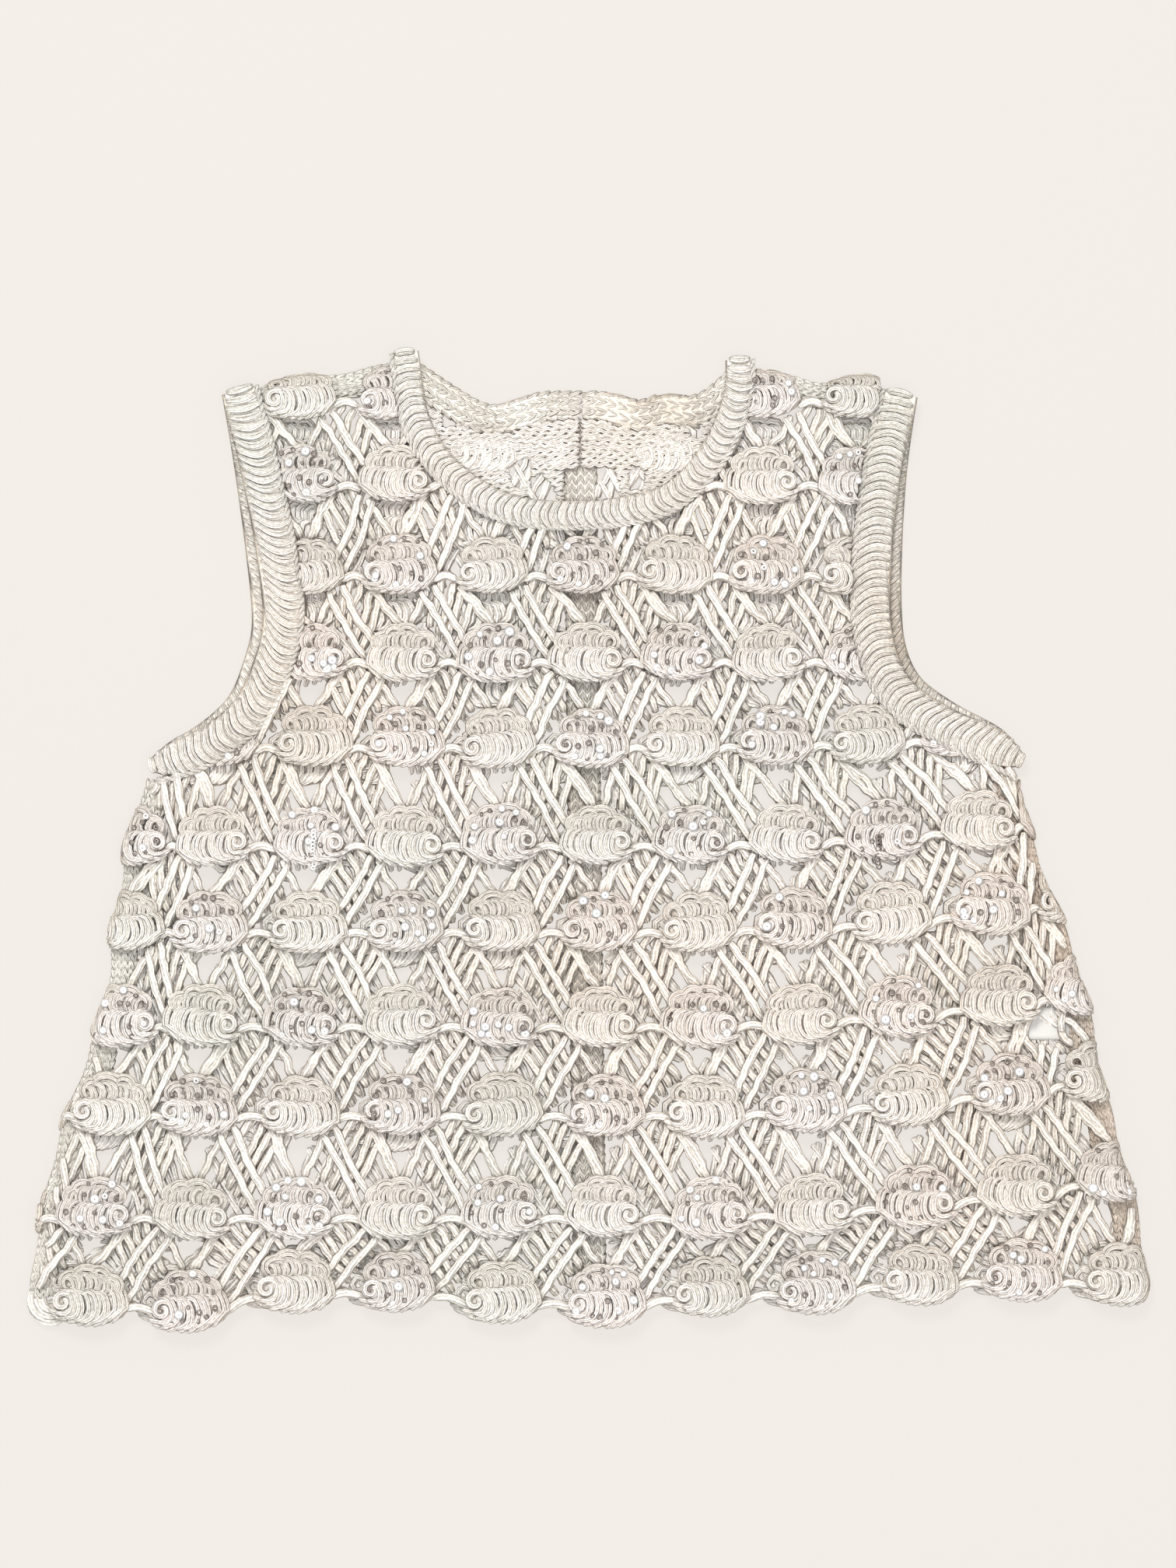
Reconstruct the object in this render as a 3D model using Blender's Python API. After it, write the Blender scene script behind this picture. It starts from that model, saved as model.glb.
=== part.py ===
"""Crocheted sleeveless vest with a round neck, laid flat: two lace layers, bands, seams and label."""

import math
from collections import namedtuple

import bmesh
import bpy
from mathutils import Vector
from mathutils.geometry import delaunay_2d_cdt

# Driving sizes, in millimetres. +X is the viewer's right, +Y runs from hem to neck, +Z is up.
MM = 0.001
SEAM_GAP = 0.3
BACK_WALL = 5.0
LAYER_GAP = 1.6
FRONT_WALL = 5.0
FRONT_LOW = BACK_WALL + LAYER_GAP
FRONT_TOP = FRONT_LOW + FRONT_WALL
SIDE_SEAM_WIDTH = 9.0
SHOULDER_SEAM_WIDTH = 6.0
SEAM_ROUNDING = 2.8
ARM_BAND_WIDTH = 20.0
ARM_BAND_PEEK = 6.0
NECK_BAND_WIDTH = 15.0
NECK_BAND_WALL = 6.0
BACK_NECK_BAND_WIDTH = 15.0
RIB_PITCH = 4.5
RIB_RISE = 1.4
CENTRE_STRIP_WIDTH = 17.0
NOTCH_HALF_WIDTH = 3.0
NOTCH_TOP = 229.5
HOLE_MARGIN = 4.0
RELIEF_MARGIN = 1.2

# Scallop motif: a low fan of stacked arcs with a narrower fan behind its upper edge.
FAN_HALF_WIDTH = 20.5
FAN_DROP = 12.5
FAN_RISE = 5.0
FAN_RAISED = 5.0
CREST_HALF_WIDTH = 15.5
CREST_RISE = 14.5
CREST_RAISED = 3.4
SPIRAL_EXTRA = 1.2
FAN_BOTTOM = FAN_DROP + 1.5
HEM_FAN_DROP = 16.5
FAN_FOOT_POINTS = 10
FAN_TOP_POINTS = 6
FAN_TOP_HALF_WIDTH = 15.2
FAN_TOP_RISE = 2.25
FAN_TOP_DROP = 7.75
FAN_TOP_SHIFT = -0.8
CREST_POINTS = 5
CREST_FOOT = FAN_RISE + 1.5
CREST_TOP_WIDTH_SHARE = 0.58
CREST_TOP_RISE_SHARE = 0.6
CREST_TOP_LIFT = 3.2
SMALLEST_MOTIF = 0.92
FULL_SIZE_ROW = 7

# Gap under a scallop, between two arms, and the narrower gap beside one arm.
WEDGE_HALF_WIDTH = 10.5
WEDGE_SHOULDER = 1.2
WEDGE_SAG = 0.6
WEDGE_CLEARANCE = 2.2
SLANT_TIP_REACH = 16.5
SLANT_TIP_RISE = 3.0
SLANT_NEAR_REACH = 6.5
SLANT_NEAR_CLEARANCE = 2.0
SLANT_FAR_REACH = 19.0
SLANT_FAR_DROP = 2.5

# Number of points along each kind of line, and how far lines are lengthened to cross others.
SPAN_STEPS = 16
LENGTH_SAMPLES = 60
NECK_POINTS = 41
SHOULDER_POINTS = 9
SEAM_POINTS = 33
SIDE_POINTS = 22
STRIP_SECTIONS = 12
LABEL_SAMPLES = 200
CROSSING_REACH = 30.0
SHOULDER_TAIL = 20.0
SIDE_TAIL = 12.0
FAR_UP = 300.0
NEAREST_POINTS = 0.4
STRAIGHT_WITHIN = 0.02
HOLE_REACH = 40.0

# Label ribbon caught in the side seam, between the layers.
LABEL_LENGTH = 27.0
LABEL_WIDTH = 17.0
LABEL_WALL = 0.9
LABEL_HEIGHT_ON_SIDE = -93.0
LABEL_SEAM_REACH = 2.0

# The rows rise towards the right edge, from LIFT_START on.
LIFT_START = 40.0
LIFT_SPAN = 220.0

LACE_COLOUR = (0.83, 0.79, 0.71)
BAND_COLOUR = (0.82, 0.77, 0.68)
RIBBON_COLOUR = (0.86, 0.86, 0.84)
YARN_ROUGHNESS = 0.9
RIBBON_ROUGHNESS = 0.5

Point = namedtuple("Point", "x y")
Section = namedtuple("Section", "y left right")
Row = namedtuple("Row", "y centre_x pitch first last lift back_x back_y")
Ring = namedtuple("Ring", "points heights closed")

# The back's centre strip leans a little from the hem to the neck.
STRIP_AT_HEM = Point(1.0, -240.0)
STRIP_AT_NECK = Point(-4.5, 240.0)
STRIP_FOOT = -246.0
NECK_HEIGHT = 230.0
STRIP_TOP_HEIGHT = 215.0
STRIP_TOP_REACH = 4.0

# Sides of the body from the hem up to the armpits.
SIDES = [
    Section(-236.0, -286.0, 285.0),
    Section(-222.0, -287.4, 288.0),
    Section(-190.0, -281.5, 283.0),
    Section(-156.0, -274.0, 274.0),
    Section(-118.0, -261.0, 264.0),
    Section(-78.0, -249.0, 256.5),
    Section(-36.0, -243.5, 242.5),
    Section(2.0, -237.0, 228.5),
    Section(30.0, -229.0, 224.0),
    Section(46.0, -224.5, 224.5),
]

# Outer edge of each front armhole band, from the shoulder down to the armpit.
ARMHOLE_LEFT = [
    Point(-188.9, 230.5),
    Point(-179.5, 195.0),
    Point(-171.0, 156.0),
    Point(-166.0, 121.0),
    Point(-169.5, 99.0),
    Point(-181.0, 74.0),
    Point(-204.0, 56.5),
    Point(-226.5, 49.5),
]
ARMHOLE_RIGHT = [
    Point(170.0, 229.0),
    Point(162.0, 195.0),
    Point(157.0, 160.0),
    Point(155.0, 127.0),
    Point(157.5, 102.0),
    Point(168.0, 82.0),
    Point(188.0, 68.5),
    Point(208.0, 60.0),
    Point(226.5, 51.5),
]

# Top edge of each shoulder, from the armhole band to the neck band.
SHOULDER_LEFT = [
    Point(-192.0, 229.5),
    Point(-169.0, 236.0),
    Point(-148.0, 240.8),
    Point(-127.0, 241.8),
    Point(-109.0, 246.5),
    Point(-92.0, 249.0),
]
SHOULDER_RIGHT = [
    Point(176.0, 227.0),
    Point(153.0, 239.0),
    Point(137.0, 240.5),
    Point(121.0, 237.0),
    Point(104.0, 241.5),
    Point(78.0, 246.0),
]

# Middle line of the front neck band, from the left shoulder round to the right.
NECK_FRONT = [
    Point(-94.5, 252.4),
    Point(-89.5, 219.0),
    Point(-74.0, 193.0),
    Point(-43.0, 172.6),
    Point(-2.0, 168.6),
    Point(38.0, 175.5),
    Point(62.5, 197.0),
    Point(77.0, 228.0),
    Point(78.0, 248.6),
]

# Top edge of the back neck band, with its low humps.
NECK_BACK = [
    Point(-95.0, 251.0),
    Point(-86.0, 246.6),
    Point(-70.0, 235.8),
    Point(-50.0, 225.6),
    Point(-26.0, 231.5),
    Point(-5.0, 232.5),
    Point(12.0, 231.8),
    Point(25.0, 227.3),
    Point(38.0, 231.3),
    Point(53.0, 229.5),
    Point(66.0, 237.5),
    Point(74.5, 247.0),
]

# Rows of scallops from the shoulders to the hem, columns counted from the middle one: the rise at
# the right edge, and how far the same row of the back lies to the right and above.
ROWS = [
    Row(230.5, -5.0, 48.0, -3, 3, 0.0, -2.0, -27.0),
    Row(187.5, -5.0, 47.5, -3, 3, 0.0, -4.0, -24.0),
    Row(141.0, -3.0, 47.0, -3, 3, 0.0, -6.0, -21.0),
    Row(96.5, -1.0, 47.2, -3, 3, 0.0, -7.0, -14.0),
    Row(52.5, 1.0, 47.6, -4, 4, 8.0, -7.0, -10.0),
    Row(2.0, 4.0, 49.2, -5, 4, 14.0, -7.0, -9.0),
    Row(-42.5, 6.0, 50.2, -5, 4, 16.0, -7.0, -9.0),
    Row(-91.0, 6.5, 51.2, -5, 5, 16.5, -7.0, -9.0),
    Row(-137.0, 8.5, 52.1, -5, 5, 17.0, -7.0, -9.0),
    Row(-189.5, 9.0, 53.2, -5, 5, 17.0, -7.0, -9.0),
    Row(-234.0, 9.5, 53.6, -5, 5, 0.0, -7.0, 1.5),
]
# Lowest point of each hem scallop, from the left edge to the right.
HEM_BOTTOMS = [-250.6, -253.2, -244.5, -244.5, -249.5, -250.8, -246.5, -244.6, -240.0, -238.5, -240.0]
INNER_COLUMNS = 4
EDGE_SQUEEZE_TOP = 0.15
EDGE_SQUEEZE_HEM = 0.04
SQUEEZE_ROW = 7
LINK_LEVEL = 10.5
LOBE_POINTS = 5
LOBE_START = 200.0
LOBE_TURN = 140.0
EDGE_WAVE = 1.2
EDGE_WAVE_PITCH = 47.0


def smooth(points, count):
    """A Catmull-Rom curve through the points, resampled to evenly spaced ones."""
    ends = [points[0]] + list(points) + [points[-1]]
    dense = []
    for before, start, end, after in zip(ends, ends[1:], ends[2:], ends[3:]):
        for step in range(SPAN_STEPS):
            t = step / SPAN_STEPS
            weights = (
                -0.5 * t ** 3 + t ** 2 - 0.5 * t,
                1.5 * t ** 3 - 2.5 * t ** 2 + 1.0,
                -1.5 * t ** 3 + 2.0 * t ** 2 + 0.5 * t,
                0.5 * t ** 3 - 0.5 * t ** 2,
            )
            around = (before, start, end, after)
            x = sum(weight * point.x for weight, point in zip(weights, around))
            y = sum(weight * point.y for weight, point in zip(weights, around))
            dense.append(Point(x, y))
    dense.append(points[-1])
    return resample(dense, count)


def resample(points, count):
    """The same line with evenly spaced points."""
    lengths = [0.0]
    for start, end in zip(points, points[1:]):
        lengths.append(lengths[-1] + math.hypot(end.x - start.x, end.y - start.y))
    result = []
    piece = 0
    for index in range(count):
        target = lengths[-1] * index / (count - 1)
        while piece < len(points) - 2 and lengths[piece + 1] < target:
            piece += 1
        span = lengths[piece + 1] - lengths[piece]
        share = (target - lengths[piece]) / span
        start, end = points[piece], points[piece + 1]
        result.append(Point(start.x + (end.x - start.x) * share, start.y + (end.y - start.y) * share))
    return result


def line_length(points):
    """Length of an open line."""
    return sum(math.hypot(end.x - start.x, end.y - start.y) for start, end in zip(points, points[1:]))


def offset(points, distance):
    """The line moved sideways, to its left for a positive distance."""
    result = []
    last = len(points) - 1
    for index, point in enumerate(points):
        before, after = points[max(index - 1, 0)], points[min(index + 1, last)]
        along_x, along_y = after.x - before.x, after.y - before.y
        length = math.hypot(along_x, along_y)
        result.append(Point(point.x - along_y / length * distance, point.y + along_x / length * distance))
    return result


def extended(points, distance):
    """The line made longer at both ends."""
    first, second = points[0], points[1]
    last, before = points[-1], points[-2]
    start_share = distance / math.hypot(first.x - second.x, first.y - second.y)
    end_share = distance / math.hypot(last.x - before.x, last.y - before.y)
    start = Point(first.x + (first.x - second.x) * start_share, first.y + (first.y - second.y) * start_share)
    end = Point(last.x + (last.x - before.x) * end_share, last.y + (last.y - before.y) * end_share)
    return [start] + list(points) + [end]


def crossing(first_line, second_line):
    """Where two lines cross: the piece of the first line, the piece of the second, and the point."""
    for i, (a, b) in enumerate(zip(first_line, first_line[1:])):
        for j, (c, d) in enumerate(zip(second_line, second_line[1:])):
            across = (b.x - a.x) * (d.y - c.y) - (b.y - a.y) * (d.x - c.x)
            if abs(across) < 1e-9:
                continue
            s = ((c.x - a.x) * (d.y - c.y) - (c.y - a.y) * (d.x - c.x)) / across
            t = ((c.x - a.x) * (b.y - a.y) - (c.y - a.y) * (b.x - a.x)) / across
            if 0.0 <= s <= 1.0 and 0.0 <= t <= 1.0:
                return i, j, Point(a.x + (b.x - a.x) * s, a.y + (b.y - a.y) * s)
    raise ValueError("the lines do not cross")


def joined(lines):
    """One closed outline from lines that cross their neighbours, each trimmed at the crossings."""
    lines = [extended(line, CROSSING_REACH) for line in lines]
    meets = [crossing(line, lines[(index + 1) % len(lines)]) for index, line in enumerate(lines)]
    outline = []
    for index, line in enumerate(lines):
        into = meets[index - 1]
        out = meets[index]
        outline.append(into[2])
        for point in line[into[1] + 1:out[0] + 1]:
            outline.append(point)
    return tidy_loop(outline)


def tidy_loop(outline):
    """The outline without points that nearly touch the one before or lie on a straight run."""
    kept = []
    for point in outline:
        if not kept or math.hypot(point.x - kept[-1].x, point.y - kept[-1].y) > NEAREST_POINTS:
            kept.append(point)
    if math.hypot(kept[0].x - kept[-1].x, kept[0].y - kept[-1].y) < NEAREST_POINTS:
        kept.pop()
    bent = []
    for before, point, after in zip(kept[-1:] + kept[:-1], kept, kept[1:] + kept[:1]):
        along_x, along_y = after.x - before.x, after.y - before.y
        aside = abs((point.x - before.x) * along_y - (point.y - before.y) * along_x)
        if aside / math.hypot(along_x, along_y) > STRAIGHT_WITHIN:
            bent.append(point)
    return bent


def inside(point, outline):
    """True where the point lies within the outline."""
    result = False
    for start, end in zip(outline, outline[1:] + outline[:1]):
        if (start.y > point.y) != (end.y > point.y):
            x = start.x + (point.y - start.y) / (end.y - start.y) * (end.x - start.x)
            if point.x < x:
                result = not result
    return result


def edge_distance(point, outline):
    """Distance from the point to the nearest edge of the outline."""
    nearest = 1e9
    for start, end in zip(outline, outline[1:] + outline[:1]):
        dx, dy = end.x - start.x, end.y - start.y
        share = ((point.x - start.x) * dx + (point.y - start.y) * dy) / (dx * dx + dy * dy)
        share = min(1.0, max(0.0, share))
        gap = math.hypot(point.x - start.x - share * dx, point.y - start.y - share * dy)
        nearest = min(nearest, gap)
    return nearest


def well_inside(point, outline, margin):
    """True where the point is within the outline and clear of its edge."""
    return inside(point, outline) and edge_distance(point, outline) > margin


def material(name, colour, roughness):
    """A plain Principled material."""
    made = bpy.data.materials.new(name)
    made.use_nodes = True
    shader = made.node_tree.nodes["Principled BSDF"]
    shader.inputs["Base Color"].default_value = (*colour, 1.0)
    shader.inputs["Roughness"].default_value = roughness
    shader.inputs["Metallic"].default_value = 0.0
    return made


def add_object(name, mesh_data, finish):
    """Put a bmesh, built in millimetres, into the scene as one named object."""
    for vert in mesh_data.verts:
        vert.co *= MM
    bmesh.ops.recalc_face_normals(mesh_data, faces=mesh_data.faces)
    mesh = bpy.data.meshes.new(name)
    mesh_data.to_mesh(mesh)
    mesh_data.free()
    mesh.materials.append(finish)
    made = bpy.data.objects.new(name, mesh)
    bpy.context.collection.objects.link(made)
    return made


def triangulate_region(outline, holes, rings):
    """Triangles over the outline less its holes, with the rings as fold lines."""
    coords = []
    heights = []
    edges = []
    for points, rises, closed in [(outline, None, True)] + [(hole, None, True) for hole in holes] + rings:
        first = len(coords)
        coords.extend(Vector((point.x, point.y)) for point in points)
        heights.extend(rises if rises else [0.0] * len(points))
        count = len(points)
        for index in range(count if closed else count - 1):
            edges.append((first + index, first + (index + 1) % count))
    found = delaunay_2d_cdt(coords, edges, [], 0, 1e-6)
    triangles = []
    for face in found[2]:
        centre = Point(
            sum(found[0][index].x for index in face) / 3.0,
            sum(found[0][index].y for index in face) / 3.0,
        )
        if not inside(centre, outline):
            continue
        if any(near_hole(centre, hole) and inside(centre, hole) for hole in holes):
            continue
        triangles.append([found[3][index][0] for index in face])
    return coords, heights, triangles


def near_hole(point, hole):
    """A quick test before the full one."""
    return abs(point.x - hole[0].x) < HOLE_REACH and abs(point.y - hole[0].y) < HOLE_REACH


def lace_plate(name, outline, holes, rings, z_low, z_top, finish):
    """A closed wall with gaps cut through it and motifs raised on its upper side only."""
    mesh = bmesh.new()
    coords, heights, triangles = triangulate_region(outline, holes, rings)
    upper = [mesh.verts.new((co.x, co.y, z_top + rise)) for co, rise in zip(coords, heights)]
    for triangle in triangles:
        mesh.faces.new([upper[index] for index in triangle])
    coords, heights, triangles = triangulate_region(outline, holes, [])
    lower = [mesh.verts.new((co.x, co.y, z_low)) for co in coords]
    for triangle in triangles:
        mesh.faces.new([lower[index] for index in reversed(triangle)])
    first = 0
    for loop in [outline] + holes:
        count = len(loop)
        for index in range(count):
            here, following = first + index, first + (index + 1) % count
            mesh.faces.new((upper[here], upper[following], lower[following], lower[here]))
        first += count
    bmesh.ops.triangulate(mesh, faces=mesh.faces)
    loose = [vert for vert in mesh.verts if not vert.link_faces]
    bmesh.ops.delete(mesh, geom=loose, context="VERTS")
    return add_object(name, mesh, finish)


def sweep(name, sections, finish):
    """A closed strip through sections that all have the same number of points."""
    mesh = bmesh.new()
    loops = [[mesh.verts.new(point) for point in section] for section in sections]
    for before, after in zip(loops, loops[1:]):
        count = len(before)
        for index in range(count):
            following = (index + 1) % count
            mesh.faces.new((before[index], before[following], after[following], after[index]))
    mesh.faces.new(loops[0])
    mesh.faces.new(list(reversed(loops[-1])))
    bmesh.ops.triangulate(mesh, faces=mesh.faces)
    return add_object(name, mesh, finish)


def ribbed_band(name, outer, inner, z_low, z_top, rib_rise, finish):
    """A flat band with ribs across its upper side, crest and hollow at every other section."""
    sections = []
    for index, (edge, seam) in enumerate(zip(outer, inner)):
        rise = rib_rise if index % 2 else 0.0
        sections.append([
            (edge.x, edge.y, z_low),
            (seam.x, seam.y, z_low),
            (seam.x, seam.y, z_top + 0.5 * rise),
            (edge.x, edge.y, z_top + rise),
        ])
    return sweep(name, sections, finish)


def rolled_seam(name, outer, inner, finish):
    """A dense seam strip as thick as both layers, rounded on the garment's outer edge."""
    sections = []
    for edge, seam in zip(outer, inner):
        width = math.hypot(edge.x - seam.x, edge.y - seam.y)
        across_x, across_y = (edge.x - seam.x) / width, (edge.y - seam.y) / width
        profile = [
            (0.0, 0.0),
            (width - SEAM_ROUNDING, 0.0),
            (width, SEAM_ROUNDING),
            (width, FRONT_TOP - SEAM_ROUNDING),
            (width - SEAM_ROUNDING, FRONT_TOP),
            (0.0, FRONT_TOP),
        ]
        sections.append([(seam.x + across_x * s, seam.y + across_y * s, z) for s, z in profile])
    return sweep(name, sections, finish)


def side_line(side, inset):
    """One side of the body from hem to armpit, bulging a little at each row, moved inwards."""
    sign = -1.0 if side == "left" else 1.0
    points = []
    for point in smooth([Point(getattr(section, side), section.y) for section in SIDES], SIDE_POINTS):
        bulge = EDGE_WAVE * math.cos(2.0 * math.pi * (point.y - ROWS[-1].y) / EDGE_WAVE_PITCH)
        points.append(Point(point.x + sign * bulge, point.y))
    return offset(points, sign * inset)


def arm_line(side, layer, inset, count):
    """Armhole line from shoulder to armpit; the back's stands out past the front's at mid height."""
    points = smooth(ARMHOLE_LEFT if side == "left" else ARMHOLE_RIGHT, count)
    sign = 1.0 if side == "left" else -1.0
    if layer == "back":
        last = len(points) - 1
        peeks = [ARM_BAND_PEEK * math.sin(math.pi * index / last) for index in range(last + 1)]
        points = [offset(points, -sign * peek)[index] for index, peek in enumerate(peeks)]
    return offset(points, sign * inset)


def arm_band(side, layer, finish):
    """One armhole band of one layer, ribbed on the front."""
    z_low = FRONT_LOW if layer == "front" else 0.0
    z_top = FRONT_TOP if layer == "front" else BACK_WALL
    length = line_length(arm_line(side, layer, 0.0, LENGTH_SAMPLES))
    count = 2 * round(length / RIB_PITCH) + 1 if layer == "front" else SEAM_POINTS
    rise = RIB_RISE if layer == "front" else 0.0
    outer = arm_line(side, layer, 0.0, count)
    inner = arm_line(side, layer, ARM_BAND_WIDTH, count)
    return ribbed_band(f"arm_band_{layer}_{side}", outer, inner, z_low, z_top, rise, finish)


def trimmed_edges(edges, start_cut, end_cut):
    """Both edges of a strip cut off at its ends, keeping the points that they share.

    Where a cut lies on a straight extension, the line's own end point is left out.
    """
    starts = [crossing(edge, start_cut) if start_cut else (-1, 0, None) for edge in edges]
    ends = [crossing(edge, end_cut) for edge in edges]
    first = max(start[0] for start in starts) + 1
    last = min(end[0] for end in ends)
    if first == 1:
        first = 2
    if last == len(edges[0]) - 2:
        last -= 1
    result = []
    for edge, start, end in zip(edges, starts, ends):
        middle = [edge[index] for index in range(first, last + 1)]
        result.append(([start[2]] if start[2] else []) + middle + [end[2]])
    return result


def side_seam(side, finish):
    """The strip that wraps the side of the body, ending under the armhole bands."""
    stop = extended(arm_line(side, "front", ARM_BAND_WIDTH + SEAM_GAP, SEAM_POINTS), CROSSING_REACH)
    edges = [extended(side_line(side, inset), SIDE_TAIL)[1:] for inset in (0.0, SIDE_SEAM_WIDTH)]
    outer, inner = trimmed_edges(edges, None, stop)
    return rolled_seam(f"side_seam_{side}", outer, inner, finish)


def shoulder_line(side, inset):
    """Top edge of a shoulder, moved down."""
    points = SHOULDER_LEFT if side == "left" else SHOULDER_RIGHT
    down = -inset if side == "left" else inset
    return offset(smooth(points, SHOULDER_POINTS), down)


def shoulder_seam(side, finish):
    """The strip over the shoulder, from the armhole band to the neck band."""
    arm = extended(arm_line(side, "front", ARM_BAND_WIDTH + SEAM_GAP, SEAM_POINTS), CROSSING_REACH)
    neck = extended(neck_line(side, NECK_BAND_WIDTH / 2.0 + SEAM_GAP), CROSSING_REACH)
    edges = [extended(shoulder_line(side, inset), SHOULDER_TAIL) for inset in (0.0, SHOULDER_SEAM_WIDTH)]
    outer, inner = trimmed_edges(edges, arm, neck)
    return rolled_seam(f"shoulder_seam_{side}", outer, inner, finish)


def neck_line(side, inset):
    """Half of the front neck seam, on the fabric side of the band's middle line."""
    line = offset(smooth(NECK_FRONT, NECK_POINTS), -inset)
    middle = len(line) // 2
    return line[:middle + 1] if side == "left" else list(reversed(line[middle:]))


def neck_band_front(finish):
    """The ribbed band round the front neckline, its ends standing just above the shoulders."""
    length = line_length(smooth(NECK_FRONT, LENGTH_SAMPLES))
    count = 2 * round(length / RIB_PITCH) + 1
    middle = smooth(NECK_FRONT, count)
    outer = offset(middle, NECK_BAND_WIDTH / 2.0)
    inner = offset(middle, -NECK_BAND_WIDTH / 2.0)
    z_top = FRONT_LOW + NECK_BAND_WALL
    return ribbed_band("neck_band_front", outer, inner, FRONT_LOW, z_top, RIB_RISE, finish)


def back_neck_line(inset):
    """Top edge of the back neck band, moved down."""
    return offset(smooth(NECK_BACK, NECK_POINTS), -inset)


def neck_band_back(side, finish):
    """Half of the back neck band; the halves meet at a small notch over the centre strip."""
    top, bottom = back_neck_line(0.0), back_neck_line(BACK_NECK_BAND_WIDTH)
    middle = centre_strip_x(NECK_HEIGHT)
    sign = -1.0 if side == "left" else 1.0
    pairs = []
    for upper, lower in zip(top, bottom):
        nearest = min(sign * (upper.x - middle), sign * (lower.x - middle))
        if nearest > NOTCH_HALF_WIDTH:
            pairs.append((upper, lower))
    at = len(pairs) if side == "left" else 0
    level = pairs[at - 1][1].y if side == "left" else pairs[0][1].y
    upper = Point(middle + sign * NOTCH_HALF_WIDTH, NOTCH_TOP)
    pairs.insert(at, (upper, Point(middle + sign * 0.5 * SEAM_GAP, level)))
    edge = [upper for upper, _ in pairs]
    seam = [lower for _, lower in pairs]
    return ribbed_band(f"neck_band_back_{side}", edge, seam, 0.0, BACK_WALL, 0.0, finish)


def centre_strip_x(y):
    """Middle of the centre strip at a height."""
    share = (y - STRIP_AT_HEM.y) / (STRIP_AT_NECK.y - STRIP_AT_HEM.y)
    return STRIP_AT_HEM.x + (STRIP_AT_NECK.x - STRIP_AT_HEM.x) * share


def centre_strip(finish):
    """The dense strip down the middle of the back."""
    top = back_neck_line(BACK_NECK_BAND_WIDTH + SEAM_GAP)
    half = CENTRE_STRIP_WIDTH / 2.0
    middle = centre_strip_x(STRIP_TOP_HEIGHT)
    level = min(point.y for point in top if abs(point.x - middle) < half + STRIP_TOP_REACH)
    last = STRIP_SECTIONS - 1
    ys = [STRIP_FOOT + (level - STRIP_FOOT) * index / last for index in range(STRIP_SECTIONS)]
    left = [Point(centre_strip_x(y) - half, y) for y in ys]
    right = [Point(centre_strip_x(y) + half, y) for y in ys]
    return ribbed_band("back_centre_strip", left, right, 0.0, BACK_WALL, 0.0, finish)


def motif_centre(row_index, column):
    """Centre of one scallop; the outermost columns are squeezed where the lace turns the edge."""
    row = ROWS[row_index]
    y = row.y
    if row_index == len(ROWS) - 1:
        y = HEM_BOTTOMS[column - row.first] + HEM_FAN_DROP
    rows_left = len(ROWS) - 1 - SQUEEZE_ROW
    share = min(1.0, max(0.0, (row_index - SQUEEZE_ROW) / rows_left))
    squeeze = EDGE_SQUEEZE_TOP + (EDGE_SQUEEZE_HEM - EDGE_SQUEEZE_TOP) * share
    reach = abs(column) - squeeze * max(0, abs(column) - INNER_COLUMNS)
    x = row.centre_x + math.copysign(reach, column) * row.pitch
    rise = row.lift * max(0.0, (x - LIFT_START) / LIFT_SPAN) ** 2
    return Point(x, y + rise)


def back_centre(row_index, column):
    """Centre of the same scallop on the back."""
    centre = motif_centre(row_index, column)
    return Point(centre.x + ROWS[row_index].back_x, centre.y + ROWS[row_index].back_y)


def spiral_side(row_index):
    """-1 where the row's spirals are at the left end of each scallop, 1 at the right."""
    return -1.0 if row_index % 2 == 0 else 1.0


def fan_outline(count, half_width, rise, drop):
    """Points round a closed fan whose upper and lower halves differ in height."""
    points = []
    for step in range(count):
        angle = 2.0 * math.pi * step / count
        reach = rise if math.sin(angle) > 0.0 else drop
        points.append((half_width * math.cos(angle), reach * math.sin(angle)))
    return points


def crest_arch():
    """Points along the foot of the upper fan, an open arch over the lower fan."""
    points = []
    for step in range(CREST_POINTS):
        angle = math.pi * step / (CREST_POINTS - 1)
        rise = (CREST_RISE - CREST_FOOT) * math.sin(angle)
        points.append((CREST_HALF_WIDTH * math.cos(angle), CREST_FOOT + rise))
    return points


def motif_rings(centre, side, size):
    """Fold lines of one scallop: foot and top of the lower fan, foot and top of the upper one."""
    fan_foot = fan_outline(FAN_FOOT_POINTS, FAN_HALF_WIDTH, FAN_RISE, FAN_DROP)
    top_loop = fan_outline(FAN_TOP_POINTS, FAN_TOP_HALF_WIDTH, FAN_TOP_RISE, FAN_TOP_DROP)
    fan_top = [(x, y + FAN_TOP_SHIFT) for x, y in top_loop]
    crest_foot = crest_arch()
    crest_top = []
    for x, y in crest_foot[1:-1]:
        crest_top.append((CREST_TOP_WIDTH_SHARE * x, CREST_TOP_RISE_SHARE * y + CREST_TOP_LIFT))
    groups = [
        (fan_foot, 0.0, True),
        (fan_top, FAN_RAISED, True),
        (crest_foot, 0.0, False),
        (crest_top, CREST_RAISED, False),
    ]
    rings = []
    for local, height, closed in groups:
        points = [Point(centre.x + x * size, centre.y + y * size) for x, y in local]
        extra = [SPIRAL_EXTRA * max(0.0, side * x / FAN_HALF_WIDTH) if height else 0.0 for x, _ in local]
        rings.append(Ring(points, [height + more for more in extra], closed))
    return rings


def motif_size(row_index):
    """The scallops grow a little towards the hem."""
    return SMALLEST_MOTIF + (1.0 - SMALLEST_MOTIF) * min(1.0, row_index / FULL_SIZE_ROW)


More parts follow.
